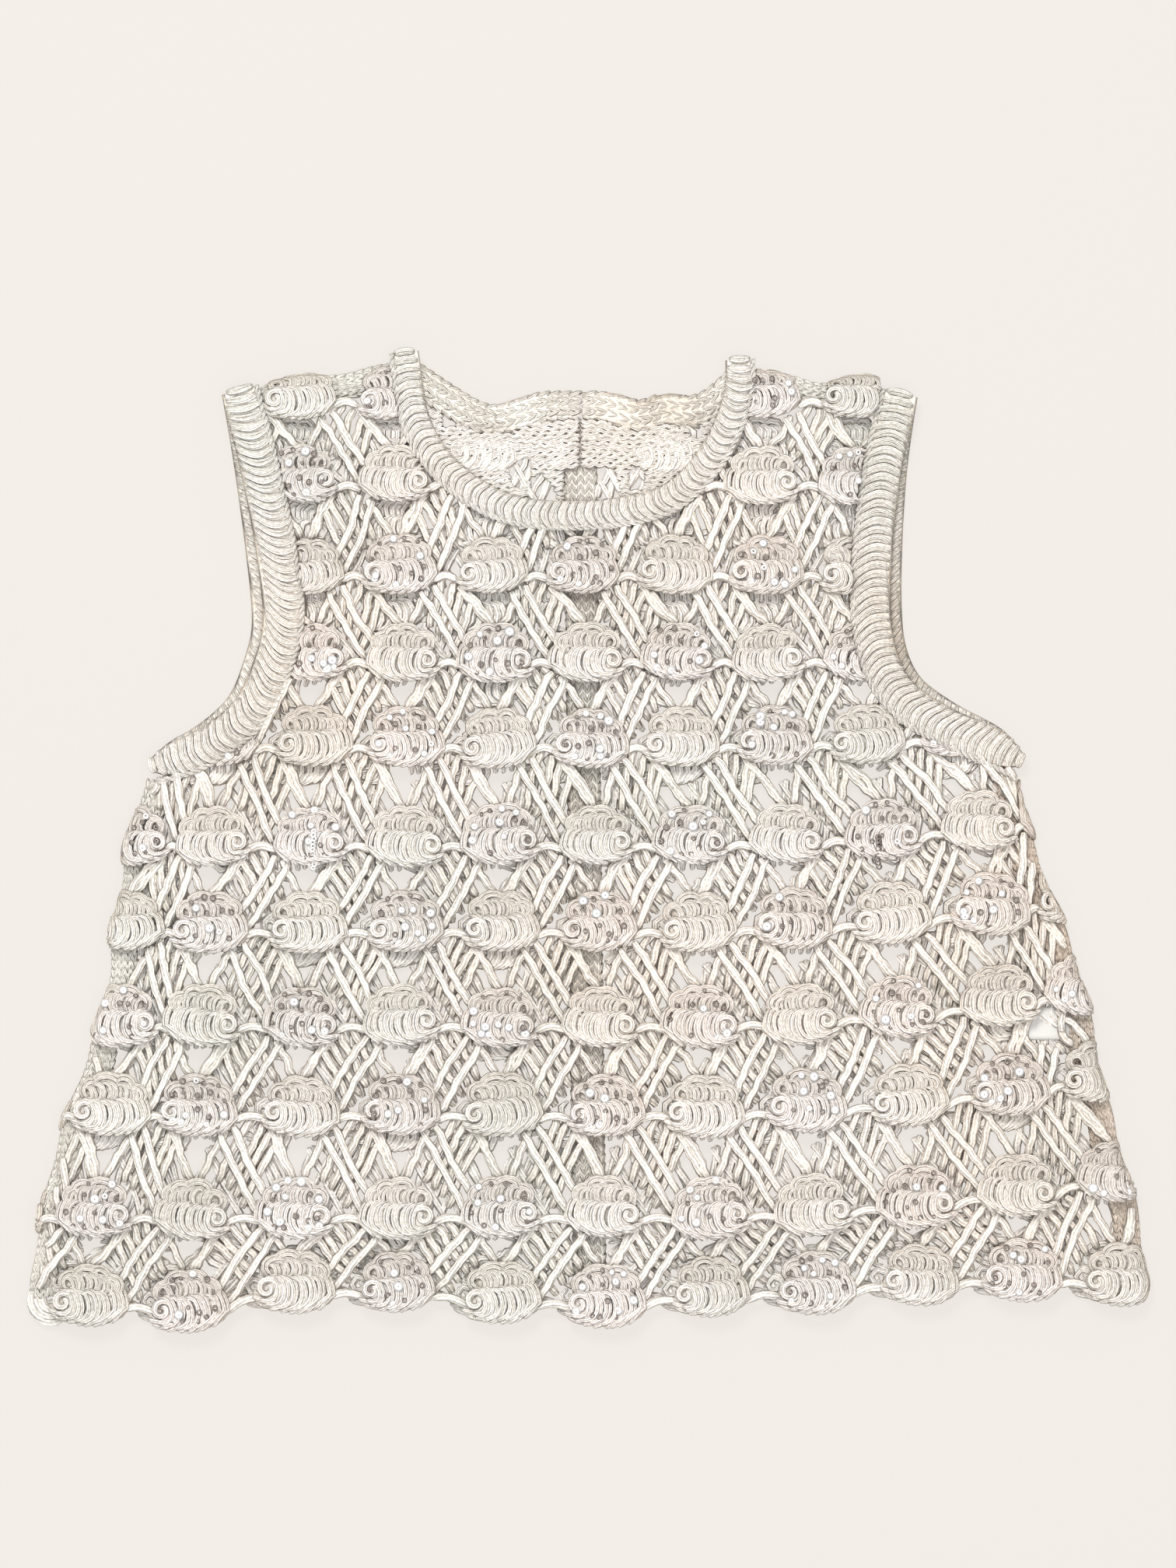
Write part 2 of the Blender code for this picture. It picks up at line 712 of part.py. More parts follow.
def clipped_ring(ring, outline):
    """The runs of the ring that lie clear of the outline's edge."""
    keep = [well_inside(point, outline, RELIEF_MARGIN) for point in ring.points]
    if all(keep):
        return [ring]
    runs = []
    run = []
    for point, height, kept in zip(ring.points, ring.heights, keep):
        if kept:
            run.append((point, height))
        elif run:
            runs.append(run)
            run = []
    if run:
        runs.append(run)
    return [Ring([p for p, _ in run], [h for _, h in run], False) for run in runs]


def lace_cells():
    """Row and column of every scallop."""
    for row_index, row in enumerate(ROWS):
        for column in range(row.first, row.last + 1):
            yield row_index, column


def wedge_gap(centre_of, row_index, column):
    """The gap under a scallop, between the two arms that meet on the scallop below."""
    top, bottom = centre_of(row_index, column), centre_of(row_index + 1, column)
    upper, lower = motif_size(row_index), motif_size(row_index + 1)
    rim = top.y - FAN_BOTTOM * upper
    return [
        Point(top.x - WEDGE_HALF_WIDTH, rim + WEDGE_SHOULDER),
        Point(bottom.x, bottom.y + (CREST_RISE + WEDGE_CLEARANCE) * lower),
        Point(top.x + WEDGE_HALF_WIDTH, rim + WEDGE_SHOULDER),
        Point(top.x, rim - WEDGE_SAG),
    ]


def slant_gap(centre_of, row_index, column):
    """The narrower gap beside one arm, on the side where the long strands leave it."""
    top, bottom = centre_of(row_index, column), centre_of(row_index + 1, column)
    upper, lower = motif_size(row_index), motif_size(row_index + 1)
    side = 1.0 if row_index % 2 == 0 else -1.0
    tip = Point(top.x + side * SLANT_TIP_REACH, top.y - (FAN_BOTTOM - SLANT_TIP_RISE) * upper)
    near_y = bottom.y + (CREST_RISE + SLANT_NEAR_CLEARANCE) * lower
    near = Point(bottom.x + side * SLANT_NEAR_REACH, near_y)
    far_y = bottom.y + (CREST_RISE - SLANT_FAR_DROP) * lower
    far = Point(bottom.x + side * SLANT_FAR_REACH, far_y)
    return [tip, near, far] if side < 0.0 else [tip, far, near]


def lace_holes(outline, makers, centre_of):
    """Every gap that fits inside the outline."""
    holes = []
    for row_index, column in lace_cells():
        below = row_index + 1
        if below >= len(ROWS) or not ROWS[below].first <= column <= ROWS[below].last:
            continue
        for maker in makers:
            hole = maker(centre_of, row_index, column)
            if all(well_inside(point, outline, HOLE_MARGIN) for point in hole):
                holes.append(hole)
    return holes


def hem_line(centre_of):
    """The scalloped hem from left to right."""
    last = len(ROWS) - 1
    points = []
    for column in range(ROWS[last].first, ROWS[last].last + 1):
        centre = centre_of(last, column)
        low = centre.y - HEM_FAN_DROP
        for step in range(LOBE_POINTS):
            angle = math.radians(LOBE_START + LOBE_TURN * step / (LOBE_POINTS - 1))
            x = centre.x + FAN_HALF_WIDTH * math.cos(angle)
            y = low + LINK_LEVEL + LINK_LEVEL * math.sin(angle)
            points.append(Point(x, y))
    return points


def front_panel(finish):
    """The front: lace with two gaps cut in each repeat and every scallop raised."""
    side = SIDE_SEAM_WIDTH + SEAM_GAP
    arm = ARM_BAND_WIDTH + SEAM_GAP
    top = SHOULDER_SEAM_WIDTH + SEAM_GAP
    neck = offset(smooth(NECK_FRONT, SEAM_POINTS), -(NECK_BAND_WIDTH / 2.0 + SEAM_GAP))
    outline = joined([
        hem_line(motif_centre),
        side_line("right", side),
        list(reversed(arm_line("right", "front", arm, SEAM_POINTS))),
        shoulder_line("right", top),
        list(reversed(neck)),
        list(reversed(shoulder_line("left", top))),
        arm_line("left", "front", arm, SEAM_POINTS),
        list(reversed(side_line("left", side))),
    ])
    holes = lace_holes(outline, (wedge_gap, slant_gap), motif_centre)
    rings = []
    for row_index, column in lace_cells():
        centre = motif_centre(row_index, column)
        for ring in motif_rings(centre, spiral_side(row_index), motif_size(row_index)):
            rings.extend(clipped_ring(ring, outline))
    return lace_plate("front_panel", outline, holes, rings, FRONT_LOW, FRONT_TOP, finish)


def back_panel(side, finish):
    """Half of the back: lace with one gap cut in each repeat, flat where it rests."""
    inset = SIDE_SEAM_WIDTH + SEAM_GAP
    arm = ARM_BAND_WIDTH + SEAM_GAP
    top = SHOULDER_SEAM_WIDTH + SEAM_GAP
    half = CENTRE_STRIP_WIDTH / 2.0 + SEAM_GAP
    sign = -1.0 if side == "left" else 1.0
    centre = [Point(centre_strip_x(y) + sign * half, y) for y in (-FAR_UP, FAR_UP)]
    hem = hem_line(back_centre)
    neck = back_neck_line(BACK_NECK_BAND_WIDTH + SEAM_GAP)
    if side == "left":
        outline = joined([
            hem,
            centre,
            list(reversed(neck)),
            list(reversed(shoulder_line("left", top))),
            arm_line("left", "back", arm, SEAM_POINTS),
            list(reversed(side_line("left", inset))),
        ])
    else:
        outline = joined([
            hem,
            side_line("right", inset),
            list(reversed(arm_line("right", "back", arm, SEAM_POINTS))),
            shoulder_line("right", top),
            list(reversed(neck)),
            list(reversed(centre)),
        ])
    holes = lace_holes(outline, (wedge_gap,), back_centre)
    return lace_plate(f"back_panel_{side}", outline, holes, [], 0.0, BACK_WALL, finish)


def care_label(finish):
    """The bare ribbon caught in the right side seam, lying between the layers."""
    z_low = BACK_WALL + (LAYER_GAP - LABEL_WALL) / 2.0
    half = LABEL_WIDTH / 2.0
    seam = smooth(side_line("right", SIDE_SEAM_WIDTH), LABEL_SAMPLES)
    reach = half + LABEL_SEAM_REACH
    edge = min(point.x for point in seam if abs(point.y - LABEL_HEIGHT_ON_SIDE) < reach) - SEAM_GAP
    sections = []
    for x in (edge - LABEL_LENGTH, edge):
        sections.append([
            (x, LABEL_HEIGHT_ON_SIDE - half, z_low),
            (x, LABEL_HEIGHT_ON_SIDE + half, z_low),
            (x, LABEL_HEIGHT_ON_SIDE + half, z_low + LABEL_WALL),
            (x, LABEL_HEIGHT_ON_SIDE - half, z_low + LABEL_WALL),
        ])
    return sweep("care_label", sections, finish)


def build():
    """Make every piece."""
    for leftover in list(bpy.data.objects):
        bpy.data.objects.remove(leftover)
    lace = material("cotton_lace", LACE_COLOUR, YARN_ROUGHNESS)
    band = material("cotton_band", BAND_COLOUR, YARN_ROUGHNESS)
    ribbon = material("label_ribbon", RIBBON_COLOUR, RIBBON_ROUGHNESS)
    front_panel(lace)
    centre_strip(band)
    neck_band_front(band)
    for side in ("left", "right"):
        back_panel(side, lace)
        neck_band_back(side, band)
        side_seam(side, band)
        shoulder_seam(side, band)
        for layer in ("front", "back"):
            arm_band(side, layer, band)
    care_label(ribbon)


build()
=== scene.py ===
"""The looks of a crocheted sleeveless vest laid flat: its lace yarn by yarn, bands, seams and sequins."""

import math
import random
from collections import namedtuple

import bpy
import numpy as np
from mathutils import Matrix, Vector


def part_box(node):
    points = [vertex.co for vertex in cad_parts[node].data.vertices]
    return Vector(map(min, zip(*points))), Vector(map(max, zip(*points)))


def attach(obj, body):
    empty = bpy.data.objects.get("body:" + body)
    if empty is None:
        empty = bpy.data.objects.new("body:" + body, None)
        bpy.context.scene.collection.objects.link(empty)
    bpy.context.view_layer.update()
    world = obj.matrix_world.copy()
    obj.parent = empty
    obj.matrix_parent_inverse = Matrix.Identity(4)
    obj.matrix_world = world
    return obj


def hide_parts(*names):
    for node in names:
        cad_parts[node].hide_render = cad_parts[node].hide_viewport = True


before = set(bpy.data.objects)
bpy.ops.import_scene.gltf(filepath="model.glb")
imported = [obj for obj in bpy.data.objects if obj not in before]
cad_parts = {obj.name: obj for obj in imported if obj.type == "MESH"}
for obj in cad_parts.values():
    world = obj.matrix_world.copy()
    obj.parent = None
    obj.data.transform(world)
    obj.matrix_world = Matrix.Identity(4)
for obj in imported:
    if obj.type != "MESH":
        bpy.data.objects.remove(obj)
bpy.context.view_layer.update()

Point = namedtuple("Point", "x y")
Section = namedtuple("Section", "y left right")
Row = namedtuple("Row", "y centre_x pitch first last lift back_x back_y")
Place = namedtuple("Place", "x y turn size depth side")
Fold = namedtuple("Fold", "axis inward line")
Net = namedtuple("Net", "crossing arm pair sides points")
Detail = namedtuple("Detail", "plies fan_points fan_radius crest_points crest_radius spiral_points")
Dome = namedtuple("Dome", "half_x half_y middle_y")
Fill = namedtuple("Fill", "half_x half_y middle_y high")
Ply = namedtuple("Ply", "aside lift radius")
Knit = namedtuple("Knit", "low high columns pitch radius")
Strung = namedtuple("Strung", "finish x top foot")
Disc = namedtuple("Disc", "centre radius tilt aim")

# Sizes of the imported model, in millimetres.
MM = 0.001
BACK_TOP = 5.0
FRONT_LOW = 6.6
FRONT_TOP = 11.6
SIDE_SEAM_WIDTH = 9.0
SHOULDER_SEAM_WIDTH = 6.0
ARM_BAND_WIDTH = 20.0
ARM_BAND_PEEK = 6.0
NECK_BAND_WIDTH = 15.0
BACK_NECK_BAND_WIDTH = 15.0
CENTRE_STRIP_WIDTH = 17.0
STRIP_FOOT = Point(1.0, -240.0)
STRIP_LEAN = 5.5
STRIP_HEIGHT = 480.0
HEM_FAN_DROP = 16.5
LIFT_START = 40.0
LIFT_SPAN = 220.0
INNER_COLUMNS = 4
EDGE_SQUEEZE_TOP = 0.15
EDGE_SQUEEZE_HEM = 0.04
SQUEEZE_ROW = 7
SQUEEZE_ROWS = 3.0
EDGE_WAVE = 1.2
EDGE_WAVE_PITCH = 47.0
RIB_PITCH = 4.5
FAR = 420.0
OUTWARD = {"left": -1.0, "right": 1.0}

# The front's lace turns down round the side and shoulder folds.
FOLD_REACH = 9.0
FOLD_MIDDLE = 5.8
FOLD_LIMIT = 2.0
FOLD_LOWEST = 1.6
FOLD_INSET = 1.0
FOLD_OVERRUN = 25.0
STRAND_STOP = {"left": 3.2, "right": 1.8}

# Yarn and stitches, in millimetres; sides, points, plies and columns are numbers of them.
STRAND_RADIUS = 2.15
FRONT_LINK_RADIUS = 2.2
BACK_LINK_RADIUS = 1.9
FRONT_NET = Net(8.2, 9.4, 10.3, 6, 10)
BACK_NET = Net(2.1, 2.6, 3.0, 5, 6)
FINE = Detail((-1.0, 1.0), 10, 1.42, 8, 1.15, 18)
COARSE = Detail((0.0,), 6, 2.3, 5, 1.9, 9)
FAN_DOME = Dome(23.0, 12.5, -4.0)
CREST_DOME = Dome(21.0, 11.5, 5.0)
FILLS = [Fill(19.0, 10.2, -3.2, 2.4), Fill(13.6, 7.4, 6.8, 0.6)]
RIM_DEPTH = 13.2
RIM_HALF_WIDTH = 21.8
BACK_SCALLOP_BASE = 7.2
BACK_SCALLOP_DEPTH = 0.38
RIB_PLIES = [Ply(0.75, 0.35, 1.45), Ply(-1.2, -0.25, 1.15)]
NECK_BAND_TOP = 14.0
ARM_BAND_TOP = 13.0
NECK_BULGE = -4.2
ARM_BULGE = 5.0
BACK_ARM_BULGE = 2.0
ARMPIT_ROUND = 0.6
SEAM_KNIT = Knit(0.4, 7.2, 4, 4.4, 1.15)
NECK_KNIT = Knit(0.0, BACK_TOP + 2.0, 3, 5.0, 1.35)
STRIP_KNIT = Knit(0.0, BACK_TOP, 4, 4.6, 0.95)

# Seeds of the random draws.
SEEDS = {"front": 11, "left": 23, "right": 29, "windows": 31, "sequins": 5}

# Start and end of each lattice strand, from the scallops it runs between; odd rows mirror them.
ARM_STRANDS = [((-16.0, -9.0), (-3.2, 17.0)), ((-11.5, -12.0), (-0.5, 15.5)), ((13.5, -11.0), (4.0, 16.5))]
CROSSING_STRANDS = [
    ((-24.5, -4.0), (13.5, 15.0)), ((-19.5, -7.5), (18.0, 11.5)),
    ((-14.5, -10.5), (22.0, 7.0)), ((-9.5, -13.0), (25.5, 1.5)),
]
PAIR_STRANDS = [((10.5, -12.0), (-18.5, -2.5)), ((17.5, -9.0), (-14.5, 6.0))]

SIDES = [
    Section(-236.0, -286.0, 285.0),
    Section(-222.0, -287.4, 288.0),
    Section(-190.0, -281.5, 283.0),
    Section(-156.0, -274.0, 274.0),
    Section(-118.0, -261.0, 264.0),
    Section(-78.0, -249.0, 256.5),
    Section(-36.0, -243.5, 242.5),
    Section(2.0, -237.0, 228.5),
    Section(30.0, -229.0, 224.0),
    Section(46.0, -224.5, 224.5),
]
ARMHOLES = {
    "left": [
        Point(-188.9, 230.5), Point(-179.5, 195.0), Point(-171.0, 156.0), Point(-166.0, 121.0),
        Point(-169.5, 99.0), Point(-181.0, 74.0), Point(-204.0, 56.5), Point(-226.5, 49.5),
    ],
    "right": [
        Point(170.0, 229.0), Point(162.0, 195.0), Point(157.0, 160.0), Point(155.0, 127.0),
        Point(157.5, 102.0), Point(168.0, 82.0), Point(188.0, 68.5), Point(208.0, 60.0), Point(226.5, 51.5),
    ],
}
SHOULDERS = {
    "left": [
        Point(-192.0, 229.5), Point(-169.0, 236.0), Point(-148.0, 240.8),
        Point(-127.0, 241.8), Point(-109.0, 246.5), Point(-92.0, 249.0),
    ],
    "right": [
        Point(176.0, 227.0), Point(153.0, 239.0), Point(137.0, 240.5),
        Point(121.0, 237.0), Point(104.0, 241.5), Point(78.0, 246.0),
    ],
}
NECK_FRONT = [
    Point(-94.5, 252.4), Point(-89.5, 219.0), Point(-74.0, 193.0), Point(-43.0, 172.6), Point(-2.0, 168.6),
    Point(38.0, 175.5), Point(62.5, 197.0), Point(77.0, 228.0), Point(78.0, 248.6),
]
NECK_BACK = [
    Point(-95.0, 251.0), Point(-86.0, 246.6), Point(-70.0, 235.8), Point(-50.0, 225.6),
    Point(-26.0, 231.5), Point(-5.0, 232.5), Point(12.0, 231.8), Point(25.0, 227.3),
    Point(38.0, 231.3), Point(53.0, 229.5), Point(66.0, 237.5), Point(74.5, 247.0),
]
ROWS = [
    Row(230.5, -5.0, 48.0, -3, 3, 0.0, -2.0, -27.0),
    Row(187.5, -5.0, 47.5, -3, 3, 0.0, -4.0, -24.0),
    Row(141.0, -3.0, 47.0, -3, 3, 0.0, -6.0, -21.0),
    Row(96.5, -1.0, 47.2, -3, 3, 0.0, -7.0, -14.0),
    Row(52.5, 1.0, 47.6, -4, 4, 8.0, -7.0, -10.0),
    Row(2.0, 4.0, 49.2, -5, 4, 14.0, -7.0, -9.0),
    Row(-42.5, 6.0, 50.2, -5, 4, 16.0, -7.0, -9.0),
    Row(-91.0, 6.5, 51.2, -5, 5, 16.5, -7.0, -9.0),
    Row(-137.0, 8.5, 52.1, -5, 5, 17.0, -7.0, -9.0),
    Row(-189.5, 9.0, 53.2, -5, 5, 17.0, -7.0, -9.0),
    Row(-234.0, 9.5, 53.6, -5, 5, 0.0, -7.0, 1.5),
]
HEM_BOTTOMS = [-250.6, -253.2, -244.5, -244.5, -249.5, -250.8, -246.5, -244.6, -240.0, -238.5, -240.0]
HEM_CORNER = Point(-276.5, -236.0)
HEM_CORNER_REACH = 11.0

# Gaps: in the front over the label, in the back under the front's scallops, and within the neckline.
LABEL_WINDOW = [(227.5, -82.0), (240.5, -82.0), (242.5, -103.0), (230.0, -103.0)]
BACK_WINDOW = [(-7.5, -17.0), (8.5, -17.0), (6.5, -25.0), (-2.0, -27.0)]
BACK_WINDOW_SHARE = 0.8
BACK_WINDOW_ROW = 3
BACK_WINDOW_NEAR = (45.0, 40.0)
NECK_CELL_LOW = 193.0
NECK_GAPS = [
    [(-42.0, 196.0), (-36.5, 200.5), (-31.0, 197.5), (-29.5, 190.0), (-34.5, 182.0), (-38.5, 184.0)],
    [(-28.5, 187.0), (-24.0, 190.0), (-17.5, 181.0), (-16.0, 173.0), (-31.0, 171.0)],
    [(5.5, 194.0), (13.0, 193.0), (16.5, 178.0), (13.0, 172.0), (4.5, 173.0)],
    [(22.0, 192.0), (26.0, 195.5), (29.5, 188.0), (27.0, 180.5), (22.5, 182.0)],
    [(-75.5, 219.0), (-72.0, 221.5), (-68.5, 219.0), (-69.5, 214.0), (-73.5, 213.0)],
    [(52.5, 214.0), (56.0, 217.0), (59.5, 213.0), (57.5, 208.5), (53.5, 209.5)],
]

# Sequins, by their places on a scallop, and the two short strings of them.
SEQUIN_SPOTS = [
    (-9.5, 12.6), (-3.6, 14.6), (2.4, 14.8), (8.4, 13.0), (-5.8, 8.4), (0.6, 7.0), (6.6, 8.8), (12.6, 6.4),
    (-12.6, 6.0), (13.0, -2.2), (-14.5, -1.0), (0.2, -0.6), (5.8, -3.6), (-6.6, -4.0), (-10.4, -7.2),
    (-4.4, -8.4), (1.8, -8.6), (8.0, -7.6), (13.4, -6.2),
]
SEQUIN_STRINGS = [Strung("sequins_clear", -141.0, 6.0, -14.0), Strung("sequins_dark", 149.0, 3.0, -13.0)]
MISSING_SEQUINS = 0.2
CLEAR_SEQUINS = 0.36

# Heights in mm from which and up to which a finish goes from its painted deep shade to its full colour.
LACE_SHADE_HEIGHTS = (5.5, 12.5)
SCALLOP_SHADE_HEIGHTS = (9.5, 16.3)
BAND_SHADE_HEIGHTS = (4.0, 12.5)
BACK_SHADE_HEIGHTS = (-8.0, 0.5)
WHITE = (1.0, 1.0, 1.0)
STUDIO_WHITE = (1.0, 0.985, 0.965)


def curve(knots, count):
    """Evenly spaced points on a smooth line through the given ones."""
    knots = np.asarray(knots, float)
    ends = np.vstack([knots[:1], knots, knots[-1:]])
    share = np.linspace(0.0, 1.0, 12, endpoint=False)[:, None]
    runs = []
    for a, b, c, d in zip(ends, ends[1:], ends[2:], ends[3:]):
        slope = (c - a) * share
        bend = (2.0 * a - 5.0 * b + 4.0 * c - d) * share ** 2
        turn = (3.0 * b - a - 3.0 * c + d) * share ** 3
        runs.append(0.5 * (2.0 * b + slope + bend + turn))
    return spaced(np.vstack(runs + [knots[-1:]]), count)


def spaced(line, count):
    """The same line with evenly spaced points."""
    travelled = way_along(line)
    wanted = np.linspace(0.0, travelled[-1], count)
    return np.column_stack([np.interp(wanted, travelled, values) for values in line.T])


def steps(line):
    """Lengths from each point of a line to the next."""
    return np.linalg.norm(np.diff(line, axis=0), axis=1)


def way_along(line):
    """How far along a line each of its points is."""
    return np.concatenate([[0.0], np.cumsum(steps(line))])


def length_of(line):
    """Length of an open line."""
    return float(np.sum(steps(line)))


def headings(line):
    """Unit directions along a line."""
    along = np.gradient(line, axis=0)
    return along / np.linalg.norm(along, axis=1)[:, None]


def normals(line):
    """Unit directions to the left of a flat line."""
    along = headings(line)
    return np.column_stack([-along[:, 1], along[:, 0]])


def offset(line, distance):
    """A flat line moved sideways, to its left for a positive distance."""
    return line + distance * normals(line)


def raised(flat, height):
    """Flat points with a height, the same for all or one for each."""
    return np.column_stack([flat, np.broadcast_to(height, len(flat))])


def within(points, polygon):
    """Which of the points lie inside the polygon."""
    x, y = points[:, 0:1], points[:, 1:2]
    ax, ay = polygon[:, 0], polygon[:, 1]
    bx, by = np.roll(ax, -1), np.roll(ay, -1)
    rise = np.where(np.abs(by - ay) < 1e-9, 1e-9, by - ay)
    crosses = ((ay > y) != (by > y)) & (x < ax + (y - ay) / rise * (bx - ax))
    return np.sum(crosses, axis=1) % 2 == 1


def clear_of(points, regions):
    """Which of the points lie outside every one of the regions."""
    clear = np.ones(len(points), bool)
    for region in regions:
        clear &= ~within(points, region)
    return clear


def turned_over(points, folds):
    """The points with those near a fold turned down round it."""
    points = points.copy()
    for axis, inward, line in folds:
        at = points[:, 1 - axis]
        line_at = line[:, 1 - axis]
        across = np.interp(at, line_at, line[:, axis])
        inside = inward * (points[:, axis] - across)
        beside = (at >= line_at[0] - FOLD_OVERRUN) & (at <= line_at[-1] + FOLD_OVERRUN)
        near = beside & (inside < FOLD_REACH)
        turn = np.clip((FOLD_REACH - inside) / FOLD_REACH, 0.0, FOLD_LIMIT)
        height = points[:, 2] - FOLD_MIDDLE
        proud = 1.0 + 0.025 * (height - 4.0)
        reach = FOLD_REACH * (1.0 - np.sin(turn) * proud) + FOLD_INSET * np.sin(turn)
        lowered = np.maximum(FOLD_MIDDLE + height * np.cos(turn), FOLD_LOWEST)
        points[near, axis] = (across + inward * reach)[near]
        points[near, 2] = lowered[near]
    return points


class Yarn:
    """Closed tubes of yarn gathered into one mesh; its UV map holds the way along, in mm, and the turn."""

    def __init__(self, folds=()):
        self.folds = folds
        self.points = []
        self.quads = []
        self.quad_uvs = []
        self.caps = []
        self.cap_uvs = []
        self.count = 0
        self.shift = 0.0

    def skin(self, points, number, sides):
        """Faces over a stack of rings of points, with a tip for each end after the last ring."""
        step = np.arange(sides)
        after = (step + 1) % sides
        here = self.count + sides * np.arange(number - 1)[:, None]
        corners = [here + step, here + after, here + sides + after, here + sides + step]
        last = self.count + (number - 1) * sides
        tip = last + sides
        self.points.append(points)
        self.quads.append(np.stack(corners, -1).reshape(-1, 4))
        self.caps.append(np.column_stack([self.count + after, self.count + step, np.full(sides, tip)]))
        self.caps.append(np.column_stack([last + step, last + after, np.full(sides, tip + 1)]))
        self.count = tip + 2

    def unroll(self, travelled, sides):
        """UVs of a tube: the way along it, and the turn round it from 0 to 1."""
        step = np.arange(sides)
        low, high = step / sides, (step + 1) / sides
        near, far = travelled[:-1, None], travelled[1:, None]
        pairs = ((near, low), (near, high), (far, high), (far, low))
        uvs = [np.stack(np.broadcast_arrays(*pair), -1) for pair in pairs]
        self.quad_uvs.append(np.stack(uvs, 2).reshape(-1, 2))
        middle = (low + high) / 2.0
        for at, turns in ((travelled[0], (high, low, middle)), (travelled[-1], (low, high, middle))):
            uvs = [np.stack(np.broadcast_arrays(at, turn), -1) for turn in turns]
            self.cap_uvs.append(np.stack(uvs, 1).reshape(-1, 2))

    def lay(self, path, radius, sides=6, flat=1.0, ends=0.6, cap=0.6):
        """One tube along the path, with rounded ends."""
        path = turned_over(path, self.folds)
        path[:, 2] = np.maximum(path[:, 2], np.max(radius) * flat + 0.05)
        number = len(path)
        along = headings(path)
        side = np.column_stack([-along[:, 1], along[:, 0], np.zeros(number)])
        side /= np.maximum(np.linalg.norm(side, axis=1), 1e-6)[:, None]
        rise = np.cross(along, side)
        radii = np.full(number, 1.0) * radius
        radii[0] *= ends
        radii[-1] *= ends
        turns = 2.0 * np.pi * np.arange(sides) / sides
        across = np.cos(turns)[None, :, None] * side[:, None, :]
        upward = flat * np.sin(turns)[None, :, None] * rise[:, None, :]
        rings = path[:, None, :] + radii[:, None, None] * (across + upward)
        start = path[0] - along[0] * radii[0] * cap
        stop = path[-1] + along[-1] * radii[-1] * cap
        self.skin(np.vstack([rings.reshape(-1, 3), start, stop]), number, sides)
        self.unroll(way_along(path) + self.shift, sides)
        self.shift = (self.shift + 7.3) % 500.0

    def pad(self, outline, low, high):
        """A closed low mound over a flat outline, as fill under the stitches."""
        centre = outline.mean(axis=0)
        shoulder = centre + (outline - centre) * 0.7
        rings = [raised(outline, low), raised(outline, low + 0.45 * (high - low)), raised(shoulder, high)]
        tips = [[*centre, low], [*centre, high]]
        number = len(outline)
        self.skin(turned_over(np.vstack(rings + tips), self.folds), len(rings), number)
        self.quad_uvs.append(np.tile([[0.0, 0.25]], (8 * number, 1)))
        self.cap_uvs.append(np.tile([[0.0, 0.25]], (6 * number, 1)))

    def piece(self, name, finish):
        """The tubes as one object in the scene."""
        faces = [np.vstack(self.quads), np.vstack(self.caps)]
        uvs = np.vstack(self.quad_uvs + self.cap_uvs)
        return mesh_piece(name, np.vstack(self.points), faces, uvs, finish)


def mesh_piece(name, points, faces, uvs, finish):
    """One object from points in mm, and arrays of faces with a column for each corner."""
    corners = np.concatenate([group.reshape(-1) for group in faces])
    totals = np.concatenate([np.full(len(group), group.shape[1]) for group in faces])
    mesh = bpy.data.meshes.new(name)
    mesh.vertices.add(len(points))
    mesh.vertices.foreach_set("co", (points * MM).astype(np.float32).reshape(-1))
    mesh.loops.add(len(corners))
    mesh.loops.foreach_set("vertex_index", corners.astype(np.int32))
    mesh.polygons.add(len(totals))
    starts = np.concatenate([[0], np.cumsum(totals)[:-1]])
    mesh.polygons.foreach_set("loop_start", starts.astype(np.int32))
    mesh.polygons.foreach_set("use_smooth", np.ones(len(totals), bool))
    mesh.update(calc_edges=True)
    layer = mesh.uv_layers.new(name="yarn")
    layer.data.foreach_set("uv", uvs.astype(np.float32).reshape(-1))
    mesh.materials.append(finish)
    piece = bpy.data.objects.new(name, mesh)
    bpy.context.collection.objects.link(piece)
    return piece


def side_line(side, inset):
    """One side of the body from hem to armpit, moved inwards."""
    line = curve([(getattr(section, side), section.y) for section in SIDES], 60)
    wave = np.cos(2.0 * np.pi * (line[:, 1] - ROWS[-1].y) / EDGE_WAVE_PITCH)
    line[:, 0] += OUTWARD[side] * EDGE_WAVE * wave
    return offset(line, OUTWARD[side] * inset)


def arm_line(side, layer, inset):
    """Armhole line from shoulder to armpit; the back's stands out past the front's at mid height."""
    line = curve(ARMHOLES[side], 80)
    if layer == "back":
        peek = ARM_BAND_PEEK * np.sin(np.pi * np.linspace(0.0, 1.0, len(line)))
        line = line + OUTWARD[side] * peek[:, None] * normals(line)
    return offset(line, -OUTWARD[side] * inset)


def shoulder_line(side, inset):
    """Top edge of a shoulder, moved down."""
    return offset(curve(SHOULDERS[side], 40), OUTWARD[side] * inset)


def neck_line(inset):
    """Front neck seam, moved to the fabric side of the band's middle line."""
    return offset(curve(NECK_FRONT, 120), -inset)


def back_neck_line(inset):
    """Top edge of the back neck band, moved down."""
    return offset(curve(NECK_BACK, 90), -inset)


def centre_strip_x(y):
    """The back's centre strip leans a little."""
    return STRIP_FOOT.x - STRIP_LEAN * (y - STRIP_FOOT.y) / STRIP_HEIGHT


def front_folds():
    """The side and shoulder folds that the front's lace turns round."""
    folds = []
    for side, outward in OUTWARD.items():
        folds.append(Fold(0, -outward, side_line(side, 0.0)))
        line = shoulder_line(side, 0.0)
        folds.append(Fold(1, -1.0, line[np.argsort(line[:, 0])]))
    return folds


def region_above(line):
    """All that lies straight above a line."""
    return np.vstack([[line[0, 0], FAR], line, [line[-1, 0], FAR]])


